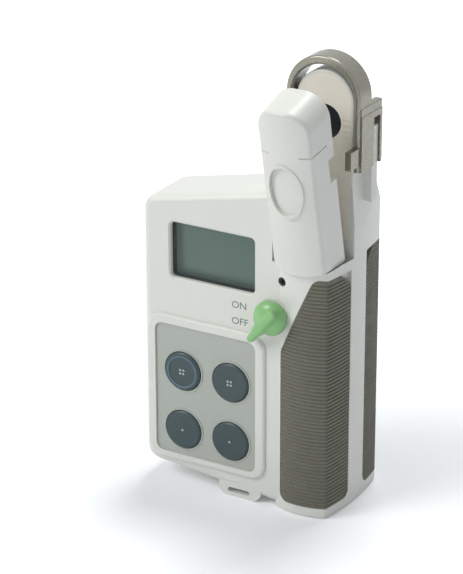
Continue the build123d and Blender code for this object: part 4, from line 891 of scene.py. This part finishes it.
def studio_world():
    """World that lights the object softly and shows white to views and reflections."""
    world = bpy.data.worlds.new("studio_world")
    world.use_nodes = True
    tree = world.node_tree
    tree.nodes.clear()
    output = tree.nodes.new("ShaderNodeOutputWorld")
    span = {"To Min": WORLD_LIGHT, "To Max": WORLD_SEEN}
    strength = add_node(tree, "ShaderNodeMapRange", span, {"Value": (seen_rays(tree), 0)})
    links = {"Strength": (strength, "Result")}
    light = add_node(tree, "ShaderNodeBackground", {"Color": linear("F4F7FA")}, links)
    tree.links.new(light.outputs[0], output.inputs["Surface"])
    bpy.context.scene.world = world


def area_light(name, place, target, size, power):
    """Round soft lamp at a place, turned to its target."""
    data = bpy.data.lights.new(name, "AREA")
    data.shape = "DISK"
    data.size = size
    data.energy = power
    lamp = bpy.data.objects.new(name, data)
    lamp.location = place
    lamp.rotation_euler = (Vector(target) - Vector(place)).to_track_quat("-Z", "Y").to_euler()
    bpy.context.scene.collection.objects.link(lamp)


def photo_camera():
    """Camera at the photograph's place: turned round Z, tilted down, and rolled a little round its view."""
    turn, tilt, roll = radians(CAMERA_TURN), radians(CAMERA_TILT), radians(CAMERA_ROLL)
    level = Vector((cos(turn), sin(turn), 0))
    view = Vector((-sin(turn) * cos(tilt), cos(turn) * cos(tilt), -sin(tilt)))
    right = level * cos(roll) + level.cross(view) * sin(roll)
    up = right.cross(view)
    lens = bpy.data.cameras.new("photo_camera")
    lens.lens = CAMERA_LENS
    camera = bpy.data.objects.new("photo_camera", lens)
    turned = Matrix((right, up, -view)).transposed().to_4x4()
    camera.matrix_world = Matrix.Translation(CAMERA_PLACE) @ turned
    bpy.context.scene.collection.objects.link(camera)
    bpy.context.scene.camera = camera


class METER_OT_stage(bpy.types.Operator):
    """Set the floor, the backdrop, the lights, the world and the camera"""

    bl_idname = "meter.stage"
    bl_label = "Stage"

    def execute(self, context):
        paper_sweep()
        studio_world()
        for name, lamp in LIGHTS.items():
            area_light(name, *lamp)
        photo_camera()
        context.scene.view_settings.view_transform = "Standard"
        return {"FINISHED"}


class METER_PT_panel(bpy.types.Panel):
    """Lists the meter's pieces in the sidebar"""

    bl_idname = "METER_PT_panel"
    bl_label = "Chlorophyll meter"
    bl_space_type = "VIEW_3D"
    bl_region_type = "UI"
    bl_category = "Meter"

    def draw(self, context):
        layout = self.layout
        for operator in OPERATORS:
            layout.operator(operator.bl_idname)
        for group in (context.scene.meter_colours, context.scene.meter_sizes, context.scene.meter_words):
            box = layout.box()
            for name in group.bl_rna.properties.keys():
                if name not in ("rna_type", "name"):
                    box.prop(group, name)


GROUPS = (MeterColours, MeterSizes, MeterWords)
OPERATORS = (
    METER_OT_housing,
    METER_OT_display,
    METER_OT_keys,
    METER_OT_knob,
    METER_OT_grips,
    METER_OT_stopper,
    METER_OT_inside,
    METER_OT_stage,
)


def register():
    """Registers the classes and gives the scene their settings."""
    for item in (*GROUPS, *OPERATORS, METER_PT_panel):
        bpy.utils.register_class(item)
    bpy.types.Scene.meter_colours = PointerProperty(type=MeterColours)
    bpy.types.Scene.meter_sizes = PointerProperty(type=MeterSizes)
    bpy.types.Scene.meter_words = PointerProperty(type=MeterWords)


def unregister():
    """Takes the settings and the classes away again."""
    del bpy.types.Scene.meter_words
    del bpy.types.Scene.meter_sizes
    del bpy.types.Scene.meter_colours
    for item in reversed((*GROUPS, *OPERATORS, METER_PT_panel)):
        bpy.utils.unregister_class(item)


def main():
    register()
    bpy.ops.meter.housing()
    bpy.ops.meter.display()
    bpy.ops.meter.keys()
    bpy.ops.meter.knob()
    bpy.ops.meter.grips()
    bpy.ops.meter.stopper()
    bpy.ops.meter.inside()
    bpy.ops.meter.stage()


if __name__ == "__main__":
    main()
